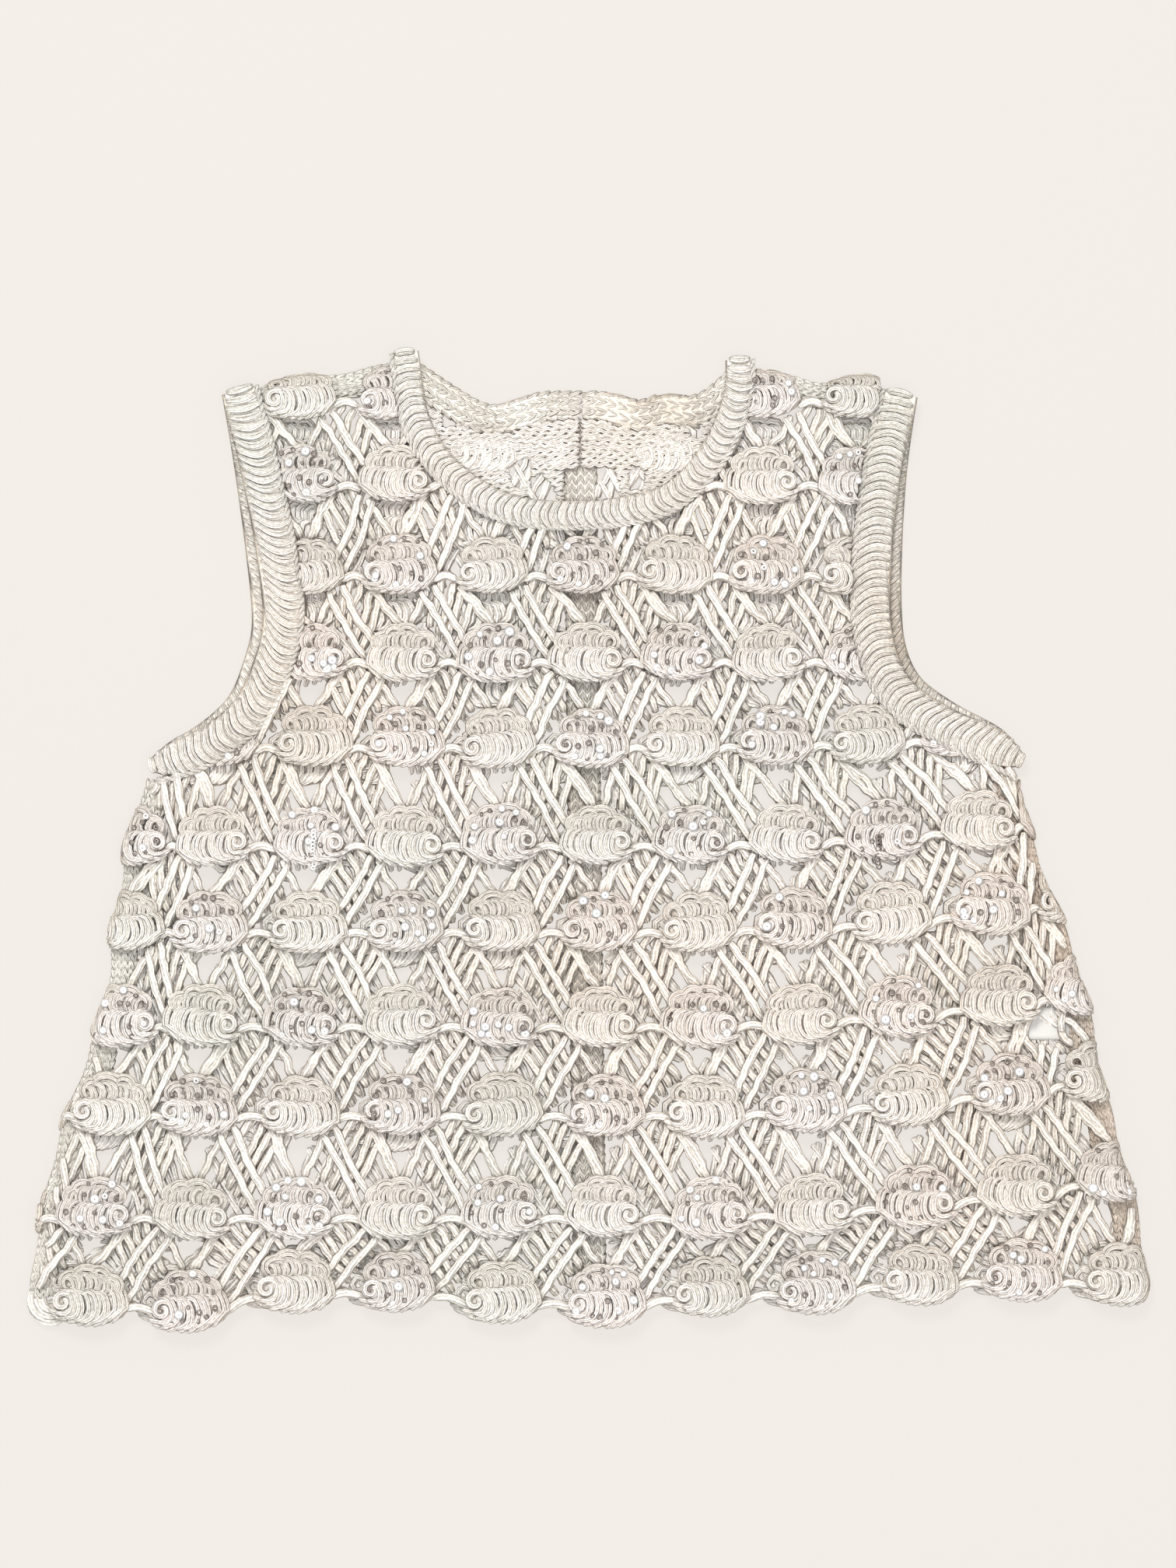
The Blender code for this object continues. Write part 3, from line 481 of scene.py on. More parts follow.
def side_region(side, inset):
    """All that lies beyond a side line."""
    far = OUTWARD[side] * FAR
    line = side_line(side, inset)
    return np.vstack([[far, -FAR], [line[0, 0], -FAR], line, [far, line[-1, 1]]])


def arm_region(side, layer, inset):
    """All that lies beyond an armhole line."""
    far = OUTWARD[side] * FAR
    line = arm_line(side, layer, inset)
    return np.vstack([[line[0, 0], FAR], line, [far, line[-1, 1]], [far, FAR]])


def shoulder_region(side, inset):
    """All that lies above a shoulder line and some way past its ends."""
    line = shoulder_line(side, inset)
    away = OUTWARD[side] * 80.0
    return region_above(np.vstack([line[0] + (away, 0.0), line, line[-1] - (away * 0.5, 0.0)]))


def other_half(side, low_x, high_x):
    """All that lies on the other half of the back, past a line from bottom to top."""
    far = -OUTWARD[side] * FAR
    return np.array([[low_x, -FAR], [high_x, FAR], [far, FAR], [far, -FAR]])


def front_regions(under, edge=FOLD_REACH, stops=None):
    """Where the front's lace may not go; it runs under the bands and past the folds a little."""
    regions = [region_above(neck_line(NECK_BAND_WIDTH / 2.0 - under))]
    for side in OUTWARD:
        regions.append(side_region(side, stops[side] if stops else -edge))
        regions.append(arm_region(side, "front", ARM_BAND_WIDTH - under))
        regions.append(shoulder_region(side, -edge))
    return regions


def back_regions(side, under):
    """Where one half of the back's lace may not go."""
    edge = OUTWARD[side] * (CENTRE_STRIP_WIDTH / 2.0 - under)
    return [
        region_above(back_neck_line(BACK_NECK_BAND_WIDTH - under)),
        other_half(side, centre_strip_x(-FAR) + edge, centre_strip_x(FAR) + edge),
        side_region(side, SIDE_SEAM_WIDTH - under),
        arm_region(side, "back", ARM_BAND_WIDTH - under),
        shoulder_region(side, SHOULDER_SEAM_WIDTH - under),
    ]


def flat_area(regions):
    """Flat area of what is clear of the regions, in square metres."""
    step = 4.0
    x, y = np.meshgrid(np.arange(-300.0, 300.0, step), np.arange(-246.0, 256.0, step))
    clear = clear_of(np.column_stack([x.reshape(-1), y.reshape(-1)]), regions)
    return float(clear.sum()) * step * step * MM * MM


def motif_centre(row_index, column):
    """Centre of one scallop, also for columns just past the edge."""
    row = ROWS[row_index]
    y = row.y
    if row_index == len(ROWS) - 1:
        at = min(max(column - row.first, 0), len(HEM_BOTTOMS) - 1)
        y = HEM_BOTTOMS[at] + HEM_FAN_DROP
    squeeze = min(1.0, max(0.0, (row_index - SQUEEZE_ROW) / SQUEEZE_ROWS))
    beyond = max(0, abs(column) - INNER_COLUMNS)
    reach = abs(column) - beyond * (EDGE_SQUEEZE_TOP + (EDGE_SQUEEZE_HEM - EDGE_SQUEEZE_TOP) * squeeze)
    x = row.centre_x + math.copysign(reach, column) * row.pitch
    return x, y + row.lift * max(0.0, (x - LIFT_START) / LIFT_SPAN) ** 2


def back_centre(row_index, column):
    """The same scallop on the back, half a row lower near the neck and less further down."""
    x, y = motif_centre(row_index, column)
    return x + ROWS[row_index].back_x, y + ROWS[row_index].back_y


def motif_size(row_index):
    """The scallops grow a little towards the hem."""
    return 0.92 + 0.08 * min(1.0, row_index / 7.0)


def spiral_side(row_index):
    """-1 where the row's spirals are at the left end of each scallop, 1 at the right."""
    return -1.0 if row_index % 2 == 0 else 1.0


def scallops(more):
    """Row and column of every scallop, with some more past each end of a row but the hem's."""
    for row_index, row in enumerate(ROWS):
        past = 0 if row is ROWS[-1] else more
        for column in range(row.first - past, row.last + 1 + past):
            yield row_index, column


def placed(place, local):
    """Local points of a scallop, x towards its spiral, in the garment's frame."""
    x = place.side * local[:, 0] * place.size
    y = local[:, 1] * place.size
    cos, sin = math.cos(place.turn), math.sin(place.turn)
    return np.column_stack([
        place.x + cos * x - sin * y,
        place.y + sin * x + cos * y,
        local[:, 2] * place.depth,
    ])


def mound(x, y, dome):
    """Height of a low dome, 1 at its middle and 0 at its edge."""
    return np.sqrt(np.maximum(0.0, 1.0 - (x / dome.half_x) ** 2 - ((y - dome.middle_y) / dome.half_y) ** 2))


def arc(centre, reach_x, reach_y, start, stop, count):
    """Points on part of an ellipse, from one angle to another in degrees."""
    angle = np.radians(np.linspace(start, stop, count))
    return centre[0] + reach_x * np.cos(angle), centre[1] + reach_y * np.sin(angle)


def swelling(count, low, high):
    """Radii that are thin at both ends and full in the middle."""
    return low + (high - low) * np.sin(np.pi * np.linspace(0.0, 1.0, count)) ** 0.7


def lay_clear(yarn, path, radius, regions, **shape):
    """Lay the stretches of a path that are clear of the regions, if they have three points or more."""
    radii = np.broadcast_to(radius, len(path))
    clear = np.pad(clear_of(path, regions).astype(int), 1)
    for start, stop in np.flatnonzero(np.diff(clear)).reshape(-1, 2):
        if stop - start > 2:
            yarn.lay(path[start:stop], radii[start:stop], **shape)


def stitch(yarn, place, x, y, z, radius, regions):
    """One stitch of a scallop, along points in the scallop's own frame."""
    path = placed(place, raised(np.column_stack([x, y]), z))
    lay_clear(yarn, path, radius * place.size, regions, sides=5)


def fan_level(x, y):
    """Height of the middle of the lower tier's yarn over the scallop's base."""
    return 4.2 * mound(x, y, FAN_DOME)


def crest_level(x, y):
    """Height of the middle of the upper tier's yarn over the scallop's base."""
    return 3.0 * mound(x, y, CREST_DOME) - 0.6


def rim(x):
    """How far the scallop reaches down at x."""
    return -RIM_DEPTH * np.sqrt(np.maximum(0.04, 1.0 - (x / RIM_HALF_WIDTH) ** 2))


def lower_fan(yarn, place, base, regions, rng, detail):
    """The scallop's lower tier: crescents that sweep into the rim, nested round a spiral."""
    x = np.linspace(-19.8, 19.8, 13)
    z = base - 0.2 + 0.6 * np.sin(np.linspace(0.0, np.pi, 13))
    stitch(yarn, place, x, rim(x) + 1.4, z, 2.0, regions)
    sweep = np.linspace(0.0, 1.0, detail.fan_points)
    for index in range(7):
        at = -17.2 + 4.35 * index + rng.uniform(-0.6, 0.6)
        top = 4.4 + 0.008 * at * at + rng.uniform(-0.6, 0.5)
        lift = rng.uniform(-0.5, 0.5)
        lean = rng.uniform(-1.1, 1.1)
        for ply in detail.plies:
            left = at - 0.9 * ply
            knots = [
                Point(left + 4.8 + lean, top + 0.5 * ply),
                Point(left + 0.2 + 0.6 * lean, 0.55 * top),
                Point(left - 1.5, -4.2),
                Point(left + 1.0 - 0.5 * lean, float(rim(left + 1.0)) + 3.1 - 0.4 * ply),
                Point(left + 6.4 - lean, float(rim(left + 6.4)) + 0.5 - 0.9 * ply),
            ]
            x, y = curve(knots, detail.fan_points).T
            z = base + fan_level(x, y) + 0.14 * index + lift - 0.4 * ply + 2.2 * sweep ** 2
            stitch(yarn, place, x, y, z, detail.fan_radius * (0.85 + 0.25 * sweep), regions)
    spiral_end(yarn, place, base, regions, detail)


def spiral_end(yarn, place, base, regions, detail):
    """The spiral at one end of the lower tier, and two short stitches below it."""
    turns = np.linspace(0.0, 1.0, detail.spiral_points)
    reach = 6.0 - 4.4 * turns
    angle = math.radians(285.0) - 2.0 * np.pi * 1.5 * turns
    x = 13.2 + reach * np.cos(angle)
    y = -1.8 + reach * np.sin(angle)
    stitch(yarn, place, x, y, base + 3.7 + 0.8 * turns, 1.75, regions)
    for drop in (0.0, 2.8):
        x = np.linspace(9.0 - drop, 20.0 - 0.6 * drop, 6)
        y = -8.6 - drop * 0.9 + 0.05 * (x - 9.0) ** 2 * (0.6 if drop else 0.4)
        stitch(yarn, place, x, y, base + 3.6 - 0.3 * drop, 1.5, regions)


def upper_fan(yarn, place, base, regions, rng, detail):
    """The scallop's upper tier, partly behind the lower one."""
    points, full = detail.crest_points, detail.crest_radius
    for index in range(6):
        at = 10.8 - 4.1 * index + rng.uniform(-0.7, 0.7)
        middle = 8.0 - 0.02 * at * at
        for ply in detail.plies:
            x, y = arc((at + 1.2, middle), 4.1 + 0.95 * ply, 5.0 + 0.5 * ply, 50.0, 262.0, points)
            z = base + crest_level(x, y) + rng.uniform(-0.2, 0.3) - 0.3 * ply
            stitch(yarn, place, x, y, z, swelling(points, 0.8 * full, full), regions)
    crown(yarn, place, base, regions, rng, detail)


def crown(yarn, place, base, regions, rng, detail):
    """Loops round the top of the upper tier, and a tuft."""
    points, full = detail.crest_points, detail.crest_radius
    hump = np.sin(np.linspace(0.0, np.pi, points))
    for angle, reach in ((24.0, 5.6), (74.0, 6.4), (118.0, 5.4), (158.0, 5.8)):
        reach += rng.uniform(-0.5, 0.5)
        turn = angle + rng.uniform(-8.0, 8.0)
        way = math.radians(turn)
        middle = (10.6 * math.cos(way), 5.0 + 6.8 * math.sin(way))
        for ply in detail.plies:
            x, y = arc(middle, reach + 0.9 * ply, 4.8 + 0.8 * ply, turn - 95.0, turn + 95.0, points)
            z = base + 1.0 - 0.5 * ply + rng.uniform(-0.2, 0.3) + 0.5 * hump
            stitch(yarn, place, x, y, z, swelling(points, 0.85 * full, 1.1 * full), regions)
    x = np.linspace(-9.0, 9.0, 7)
    y = 15.6 - 0.024 * x * x + 0.6 * np.sin(x)
    stitch(yarn, place, x, y, base - 0.4, swelling(7, 1.4, 2.0), regions)


def filled(yarn, place, base, regions):
    """Fill under both tiers, left out where a band cuts the scallop."""
    for half_x, half_y, middle_y, high in FILLS:
        x, y = arc((0.0, middle_y), half_x, half_y, 0.0, 330.0, 12)
        outline = placed(place, raised(np.column_stack([x, y]), 0.0))
        if clear_of(outline, regions).all():
            yarn.pad(outline[:, :2], (base - 3.0) * place.depth, (base + high) * place.depth)


def scallop(yarn, row_index, centre, base, depth, regions, rng, detail):
    """One whole scallop."""
    turn = rng.uniform(-0.08, 0.08)
    size = motif_size(row_index) * rng.uniform(0.97, 1.04)
    x, y = centre[0] + rng.uniform(-0.9, 0.9), centre[1] + rng.uniform(-0.8, 0.8)
    place = Place(x, y, turn, size, depth, spiral_side(row_index))
    filled(yarn, place, base, regions)
    upper_fan(yarn, place, base, regions, rng, detail)
    lower_fan(yarn, place, base, regions, rng, detail)
    return place


def strand(yarn, start, stop, level, sag, net, regions, rng):
    """One strand of the open lattice, bowed and kinked a little and uneven in thickness."""
    share = np.linspace(0.0, 1.0, net.points)
    along = stop - start
    length = np.linalg.norm(along)
    across = np.array([-along[1], along[0]]) / length
    bow = rng.uniform(-1.5, 1.5) * np.sin(np.pi * share)
    bow += rng.uniform(-0.6, 0.6) * np.sin(3.0 * np.pi * share)
    bow += 0.35 * np.sin(2.0 * np.pi * (share * length / 9.0 + rng.random()))
    flat = start + along * share[:, None] + across * bow[:, None]
    z = level + sag * np.sin(np.pi * share) - 2.6 * share ** 6
    uneven = 1.0 + 0.07 * np.sin(2.0 * np.pi * (share * length / 7.0 + rng.random()))
    radii = STRAND_RADIUS * rng.uniform(0.92, 1.06) * uneven
    lay_clear(yarn, raised(flat, z), radii, regions, sides=net.sides, ends=0.85, cap=0.4)


def lattice(yarn, row_index, centre_of, net, regions, rng):
    """The open strands between one row of scallops and the next."""
    mirror = np.array([-spiral_side(row_index), 1.0])
    rows = (row_index, row_index + 1)
    first = min(ROWS[row].first for row in rows) - 1
    last = max(ROWS[row].last for row in rows) + 1
    for column in range(first, last + 1):
        neighbour = column + int(mirror[0])
        upper, lower = [np.array(centre_of(row, column)) for row in rows]
        beside_upper, beside_lower = [np.array(centre_of(row, neighbour)) for row in rows]
        for start, stop, level, sag, strands in (
            (upper, lower, net.arm, -0.6, ARM_STRANDS),
            (beside_upper, lower, net.crossing, -0.5, CROSSING_STRANDS),
            (upper, beside_lower, net.pair, 0.5, PAIR_STRANDS),
        ):
            for top, foot in strands:
                strand(yarn, start + mirror * top, stop + mirror * foot, level, sag, net, regions, rng)


def link(yarn, left, right, base, radius, regions, sides):
    """The arched strand between two scallops of a row."""
    share = np.linspace(0.0, 1.0, 7)
    start = np.array(left) + (17.5, -6.0)
    stop = np.array(right) + (-17.5, -6.0)
    flat = start + (stop - start) * share[:, None]
    flat[:, 1] += 2.6 * np.sin(np.pi * share)
    lay_clear(yarn, raised(flat, base + 0.8 * np.sin(np.pi * share)), radius, regions, sides=sides)


def front_lace(materials):
    """Every strand and scallop of the front, as three pieces, with where the sequins go."""
    rng = random.Random(SEEDS["front"])
    under, above = front_regions(4.0, stops=STRAND_STOP), front_regions(0.3)
    under.append(np.array(LABEL_WINDOW))
    folds = front_folds()
    strands, plain, bright = Yarn(folds), Yarn(folds), Yarn(folds)
    for row_index in range(len(ROWS) - 1):
        lattice(strands, row_index, motif_centre, FRONT_NET, under, rng)
    sequinned = []
    for row_index, column in scallops(1):
        centre = motif_centre(row_index, column)
        shines = (row_index + column) % 2 == 0
        yarn = bright if shines else plain
        place = scallop(yarn, row_index, centre, FRONT_TOP - 0.4, 1.0, above, rng, FINE)
        if shines:
            sequinned.append(place)
        if column <= ROWS[row_index].last:
            beside = motif_centre(row_index, column + 1)
            link(strands, centre, beside, FRONT_TOP - 0.6, FRONT_LINK_RADIUS, above, 6)
    pieces = [
        strands.piece("front_lace", materials["lace"]),
        plain.piece("front_scallops_plain", materials["scallop"]),
        bright.piece("front_scallops_sequinned", materials["scallop_pink"]),
    ]
    return pieces, sequinned, above, folds


def neck_cells(yarn, side, regions, rng):
    """Dense wavy rows of the back, seen within the front's neckline, with its gaps left open."""
    below = np.vstack([[-FAR, 260.0], neck_line(0.0), [FAR, 260.0], [FAR, -FAR], [-FAR, -FAR]])
    middle = centre_strip_x(205.0)
    half = other_half(side, middle, middle)
    gaps = [np.array(gap) for gap in NECK_GAPS]
    neck, strip = regions[:2]
    x = np.arange(-84.0, 72.0, 1.3)
    for index, row_y in enumerate(np.arange(172.0, 224.0, 2.2)):
        over = row_y > NECK_CELL_LOW
        phase = rng.uniform(0.0, 6.3)
        wave = 0.6 * np.sin(x * 1.15 + phase) + 0.9 * np.sin(x * 0.13 + 0.1 * index)
        level = 4.7 + 0.45 * np.cos(x * 1.15 + phase) + 0.5 * np.sin(x * 0.2 + 0.9 * index)
        if over:
            level = level + 1.9 * np.exp(-((x - middle) / 15.0) ** 2)
        path = np.column_stack([x, row_y + 0.9 * wave, level])
        lay_clear(yarn, path, 1.5, [neck, half if over else strip, below, *gaps], sides=4)


def hem_corner(yarn):
    """The back's rounded corner, which shows past the front at the left of the hem."""
    for index in range(3):
        reach = HEM_CORNER_REACH - 3.2 * index
        x, y = arc(HEM_CORNER, reach, 1.05 * reach, 160.0, 300.0, 9)
        yarn.lay(raised(np.column_stack([x, y]), 3.6 + 0.5 * index), 2.3, sides=5)


def back_windows(rng):
    """Gaps under many of the front's scallops, where the back's scallops draw aside."""
    windows = []
    for row_index, column in scallops(0):
        if rng.random() < BACK_WINDOW_SHARE and row_index >= BACK_WINDOW_ROW:
            corners = np.array(BACK_WINDOW) * (-spiral_side(row_index), 1.0)
            windows.append(corners + motif_centre(row_index, column))
    return windows


def back_lace(side, materials):
    """One half of the back, seen from its wrong side: flatter scallops in plainer stitches."""
    rng = random.Random(SEEDS[side])
    regions = back_regions(side, 0.3)
    windows = back_windows(random.Random(SEEDS["windows"]))
    strands, dense = Yarn(), Yarn()
    for row_index in range(len(ROWS) - 1):
        lattice(strands, row_index, back_centre, BACK_NET, regions, rng)
    for row_index, column in scallops(0):
        centre = back_centre(row_index, column)
        near = [window for window in windows if np.all(np.abs(window[0] - centre) < BACK_WINDOW_NEAR)]
        scallop(dense, row_index, centre, BACK_SCALLOP_BASE, BACK_SCALLOP_DEPTH, regions + near, rng, COARSE)
        if column < ROWS[row_index].last:
            link(strands, centre, back_centre(row_index, column + 1), 2.9, BACK_LINK_RADIUS, regions, 5)
    neck_cells(strands, side, regions, rng)
    if side == "left":
        hem_corner(dense)
    return [
        strands.piece(f"back_lace_{side}", materials["lace_back"]),
        dense.piece(f"back_scallops_{side}", materials["lace_back"]),
    ]


def rope(yarn, line, level, radius, lay_length):
    """A two-ply cord along a flat line, seven points to a turn."""
    count = int(length_of(line) / lay_length * 7.0)
    line = spaced(line, count)
    aside = normals(line)
    turn = 2.0 * np.pi * np.arange(count) / 7.0
    for start in (0.0, np.pi):
        flat = line + aside * (radius * 0.9 * np.cos(turn + start))[:, None]
        yarn.lay(raised(flat, level + radius * 0.9 * np.sin(turn + start)), radius, sides=5)


def near_end(count):
    """1 at the end of a row, falling to 0 four steps before it."""
    return np.maximum(0.0, 1.0 - np.arange(count)[::-1] / 4.0) ** 2


def core(yarn, outer, inner, low, high, rounded):
    """A closed strip under a band's ribs."""
    middle = (outer + inner) / 2.0
    half = np.linalg.norm(outer - inner, axis=1) / 2.0
    flat = (high - low) / 2.0 / half.mean()
    half = half * (1.0 - rounded * near_end(len(half)))
    yarn.lay(raised(middle, (low + high) / 2.0), half, sides=8, flat=flat, ends=0.97, cap=0.02)


def ribs(yarn, outer, inner, low, top, bulge, rounded):
    """Crescents across a band, bulging along it, each a thick ply with a thinner one behind it."""
    count = len(outer)
    middle = (outer + inner) / 2.0
    along = headings(middle)
    share = np.linspace(0.02, 0.98, 9)
    swell = np.sin(np.pi * share)
    lead = math.copysign(1.0, bulge)
    end_round = rounded * near_end(count)
    for index in range(count):
        draw_in = max(end_round[index], 0.14 * max(0, 2 - index, index + 3 - count))
        edge = outer[index] + (middle[index] - outer[index]) * draw_in
        seam = inner[index] + (middle[index] - inner[index]) * draw_in
        curl = bulge * min(1.0, (index + 1) / 7.0, (count - index) / 7.0)
        for ply in RIB_PLIES:
            bend = curl * (swell - 0.5) + lead * ply.aside * (0.4 + 0.6 * swell)
            flat = edge + (seam - edge) * share[:, None] + along[index] * bend[:, None]
            path = raised(flat, low + ply.lift + (top - low) * swell ** 0.5)
            yarn.lay(path, ply.radius * (0.75 + 0.25 * swell), sides=5)


def ribbed_band(name, outer, inner, low, high, bulge, finish, rounded=0.0):
    """A band as crescents over a core, with a cord along its seam."""
    yarn = Yarn()
    count = int((length_of(outer) + length_of(inner)) / 2.0 / RIB_PITCH)
    outer, inner = spaced(outer, count), spaced(inner, count)
    core(yarn, outer, inner, low, high - 1.6, rounded)
    ribs(yarn, outer, inner, high - 3.2, high - 1.0, bulge, rounded)
    rope(yarn, inner + (outer - inner) * 0.06, high - 1.9, 0.95, 7.0)
    return yarn.piece(name, finish)


def knit_strip(name, left, right, knit, finish):
    """A dense strip of small V stitches over a rounded core."""
    low, high, columns, pitch, radius = knit
    yarn = Yarn()
    count = int(length_of(left) / pitch)
    left, right = spaced(left, count), spaced(right, count)
    core(yarn, left, right, low, high - 0.8, 0.0)
    share = np.linspace(0.0, 1.0, 4)
    for index in range(count - 1):
        start, width = left[index], right[index] - left[index]
        along = (left[index + 1] + right[index + 1] - left[index] - right[index]) / 2.0
        for column in range(columns):
            middle = (column + 0.5) / columns
            for lean in (-1.0, 1.0):
                near = start + width * (middle + lean * 0.06 / columns)
                far = start + width * (middle + lean * 0.5 / columns) + along * 1.25
                out = 2.0 * (middle + lean * (0.06 + 0.44 * share) / columns) - 1.0
                round_off = (high - low) * (1.0 - np.sqrt(np.maximum(0.0, 1.0 - out ** 2))) * 0.5
                z = high - 1.35 + 0.5 * np.sin(np.pi * share) - round_off
                path = raised(near + (far - near) * share[:, None], np.maximum(z, radius + 0.1))
                yarn.lay(path, radius, sides=4)
    return yarn.piece(name, finish)


def arm_band(side, layer, low, high, bulge, finish):
    """One layer of an armhole's band, rounded off at the armpit."""
    outer, inner = arm_line(side, layer, 0.0), arm_line(side, layer, ARM_BAND_WIDTH)
    return ribbed_band(f"arm_band_{layer}_{side}_ribs", outer, inner, low, high, bulge, finish, ARMPIT_ROUND)


def side_seam(side, finish):
    """The knit seam round the fold of one side, up to the armhole band."""
    outer, inner = side_line(side, 0.6), side_line(side, 1.5 * SIDE_SEAM_WIDTH)
    keep = clear_of(inner, [arm_region(side, "front", ARM_BAND_WIDTH)])
    return knit_strip(f"side_seam_{side}_wrap", outer[keep], inner[keep], SEAM_KNIT, finish)


def shoulder_seam(side, finish):
    """The knit seam round the fold of one shoulder, between the neck and armhole bands."""
    outer, inner = shoulder_line(side, 0.8), shoulder_line(side, 2.2 * SHOULDER_SEAM_WIDTH)
    neck = region_above(neck_line(NECK_BAND_WIDTH / 2.0))
    keep = clear_of(outer, [arm_region(side, "front", ARM_BAND_WIDTH), neck])
    return knit_strip(f"shoulder_seam_{side}_wrap", outer[keep], inner[keep], SEAM_KNIT, finish)


def back_neck_band(side, finish):
    """One half of the band along the back neckline."""
    top, bottom = back_neck_line(0.0), back_neck_line(BACK_NECK_BAND_WIDTH)
    keep = OUTWARD[side] * (top[:, 0] - centre_strip_x(230.0)) > 0.2
    return knit_strip(f"neck_band_back_{side}_knit", top[keep], bottom[keep], NECK_KNIT, finish)


def centre_strip(finish):
    """The dense strip down the back's middle, as long as its CAD node."""
    low, high = [np.array(corner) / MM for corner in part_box("back_centre_strip")]
    y = np.linspace(low[1], high[1], 60)
    middle = np.column_stack([centre_strip_x(y), y])
    left, right = [offset(middle, sign * CENTRE_STRIP_WIDTH / 2.0) for sign in (1.0, -1.0)]
    return knit_strip("back_centre_strip_knit", left, right, STRIP_KNIT, finish)


def bands(materials):
    """All bands, seams and the back's centre strip, each by the CAD node that it stands for."""
    front, back = materials["band"], materials["band_back"]
    lines = [neck_line(inset) for inset in (-NECK_BAND_WIDTH / 2.0, NECK_BAND_WIDTH / 2.0)]
    neck = ribbed_band("neck_band_front_ribs", *lines, FRONT_LOW, NECK_BAND_TOP, NECK_BULGE, front)
    made = {"neck_band_front": neck}
    for side, outward in OUTWARD.items():
        bulge = -outward * ARM_BULGE
        made[f"arm_band_front_{side}"] = arm_band(side, "front", FRONT_LOW, ARM_BAND_TOP, bulge, front)
        made[f"arm_band_back_{side}"] = arm_band(side, "back", 0.0, BACK_TOP + 0.4, BACK_ARM_BULGE, back)
        made[f"side_seam_{side}"] = side_seam(side, materials[f"seam_{side}"])
        made[f"shoulder_seam_{side}"] = shoulder_seam(side, materials["seam_left"])
        made[f"neck_band_back_{side}"] = back_neck_band(side, back)
    made["back_centre_strip"] = centre_strip(back)
    return made


def sequins(places, regions, folds, materials):
    """Small cupped discs with a hole, sewn to every other scallop, and two short strings of them."""
    rng = random.Random(SEEDS["sequins"])
    discs = {"sequins_clear": [], "sequins_dark": []}
    for place in places:
        for x, y in SEQUIN_SPOTS:
            if rng.random() < MISSING_SEQUINS:
                continue
            x += rng.uniform(-1.5, 1.5)
            y += rng.uniform(-1.3, 1.3)
            level = fan_level(x, y) + 2.5 if y < 4.0 else crest_level(x, y) + 2.1
            at = placed(place, np.array([[x, y, FRONT_TOP + level]]))
            if not clear_of(at, regions)[0]:
                continue
            clear = rng.random() < CLEAR_SEQUINS
            radius = rng.uniform(1.7, 2.8) if clear else rng.uniform(1.1, 1.75)
            tilt, aim = rng.uniform(0.0, 0.5), rng.uniform(0.0, 2.0 * math.pi)
            disc = Disc(turned_over(at, folds)[0], radius, tilt, aim)
            if disc.centre[2] >= FRONT_TOP:
                discs["sequins_clear" if clear else "sequins_dark"].append(disc)
    for finish, x, top, foot in SEQUIN_STRINGS:
        for y in np.arange(top, foot, -1.9):
            at = np.array([x + rng.uniform(-0.5, 0.5), y, FRONT_TOP + 7.0 - 0.012 * (y - 2.0) ** 2])
            discs[finish].append(Disc(at, 1.7, rng.uniform(0.2, 0.7), rng.uniform(-0.3, 0.3)))
    return [sequin_piece(name, found, materials[name]) for name, found in discs.items()]


def tilted(points, tilt, aim):
    """The points turned about the x axis, then about the z axis."""
    cos, sin = math.cos(tilt), math.sin(tilt)
    points = points @ np.array([[1.0, 0.0, 0.0], [0.0, cos, sin], [0.0, -sin, cos]])
    cos, sin = math.cos(aim), math.sin(aim)
    return points @ np.array([[cos, sin, 0.0], [-sin, cos, 0.0], [0.0, 0.0, 1.0]])


def sequin_piece(name, discs, finish):
    """All the discs of one finish as one mesh; the larger ones have the smaller hole."""
    segments = 10
    step = np.arange(segments)
    after = (step + 1) % segments
    turn = 2.0 * np.pi * step / segments
    points, quads = [], []
    for disc in discs:
        hole = (0.12 if disc.radius > 1.75 else 0.4) * disc.radius
        rings = []
        for reach, level in ((hole, 0.0), (disc.radius, 0.3), (hole, 0.2)):
            rings.append(raised(np.column_stack([reach * np.cos(turn), reach * np.sin(turn)]), level))
        base = len(points) * 3 * segments
        points.append(tilted(np.vstack(rings), disc.tilt, disc.aim) + disc.centre)
        for level in range(3):
            here, there = base + level * segments, base + (level + 1) % 3 * segments
            quads.append(np.column_stack([here + step, here + after, there + after, there + step]))
    quads = np.vstack(quads)
    return mesh_piece(name, np.vstack(points), [quads], np.zeros((quads.size, 2)), finish)


def ribbon(name, node, finish):
    """The bare label ribbon, slightly curled, caught in the side seam."""
    low, high = [np.array(corner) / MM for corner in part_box(node)]
    across, along = 15, 9
    share = np.arange(across) / (across - 1)
    x = low[0] + (high[0] - low[0]) * share
    y = low[1] + (high[1] - low[1]) * np.arange(along) / (along - 1)
    z = (low[2] + high[2]) / 2.0 - 0.25 + 0.25 * np.sin(share * 5.0)
    sheet = np.column_stack([np.repeat(x, along), np.tile(y, across), np.repeat(z, along)])
    points = np.vstack([sheet, sheet + (0.0, 0.0, 0.5)])
    grid = np.arange(across * along).reshape(across, along)
    a, b, c, d = grid[:-1, :-1], grid[1:, :-1], grid[1:, 1:], grid[:-1, 1:]
    upper = grid.size + np.stack([a, b, c, d], -1)
    lower = np.stack([a, d, c, b], -1)
    edge = np.concatenate([grid[:, 0], grid[-1, 1:], grid[-2::-1, -1], grid[0, -2:0:-1]])
    after = np.roll(edge, -1)
    border = np.column_stack([edge, after, grid.size + after, grid.size + edge])
    quads = np.vstack([np.stack([upper, lower], 2).reshape(-1, 4), border])
    return mesh_piece(name, points, [quads], points[quads.reshape(-1)][:, :2], finish)


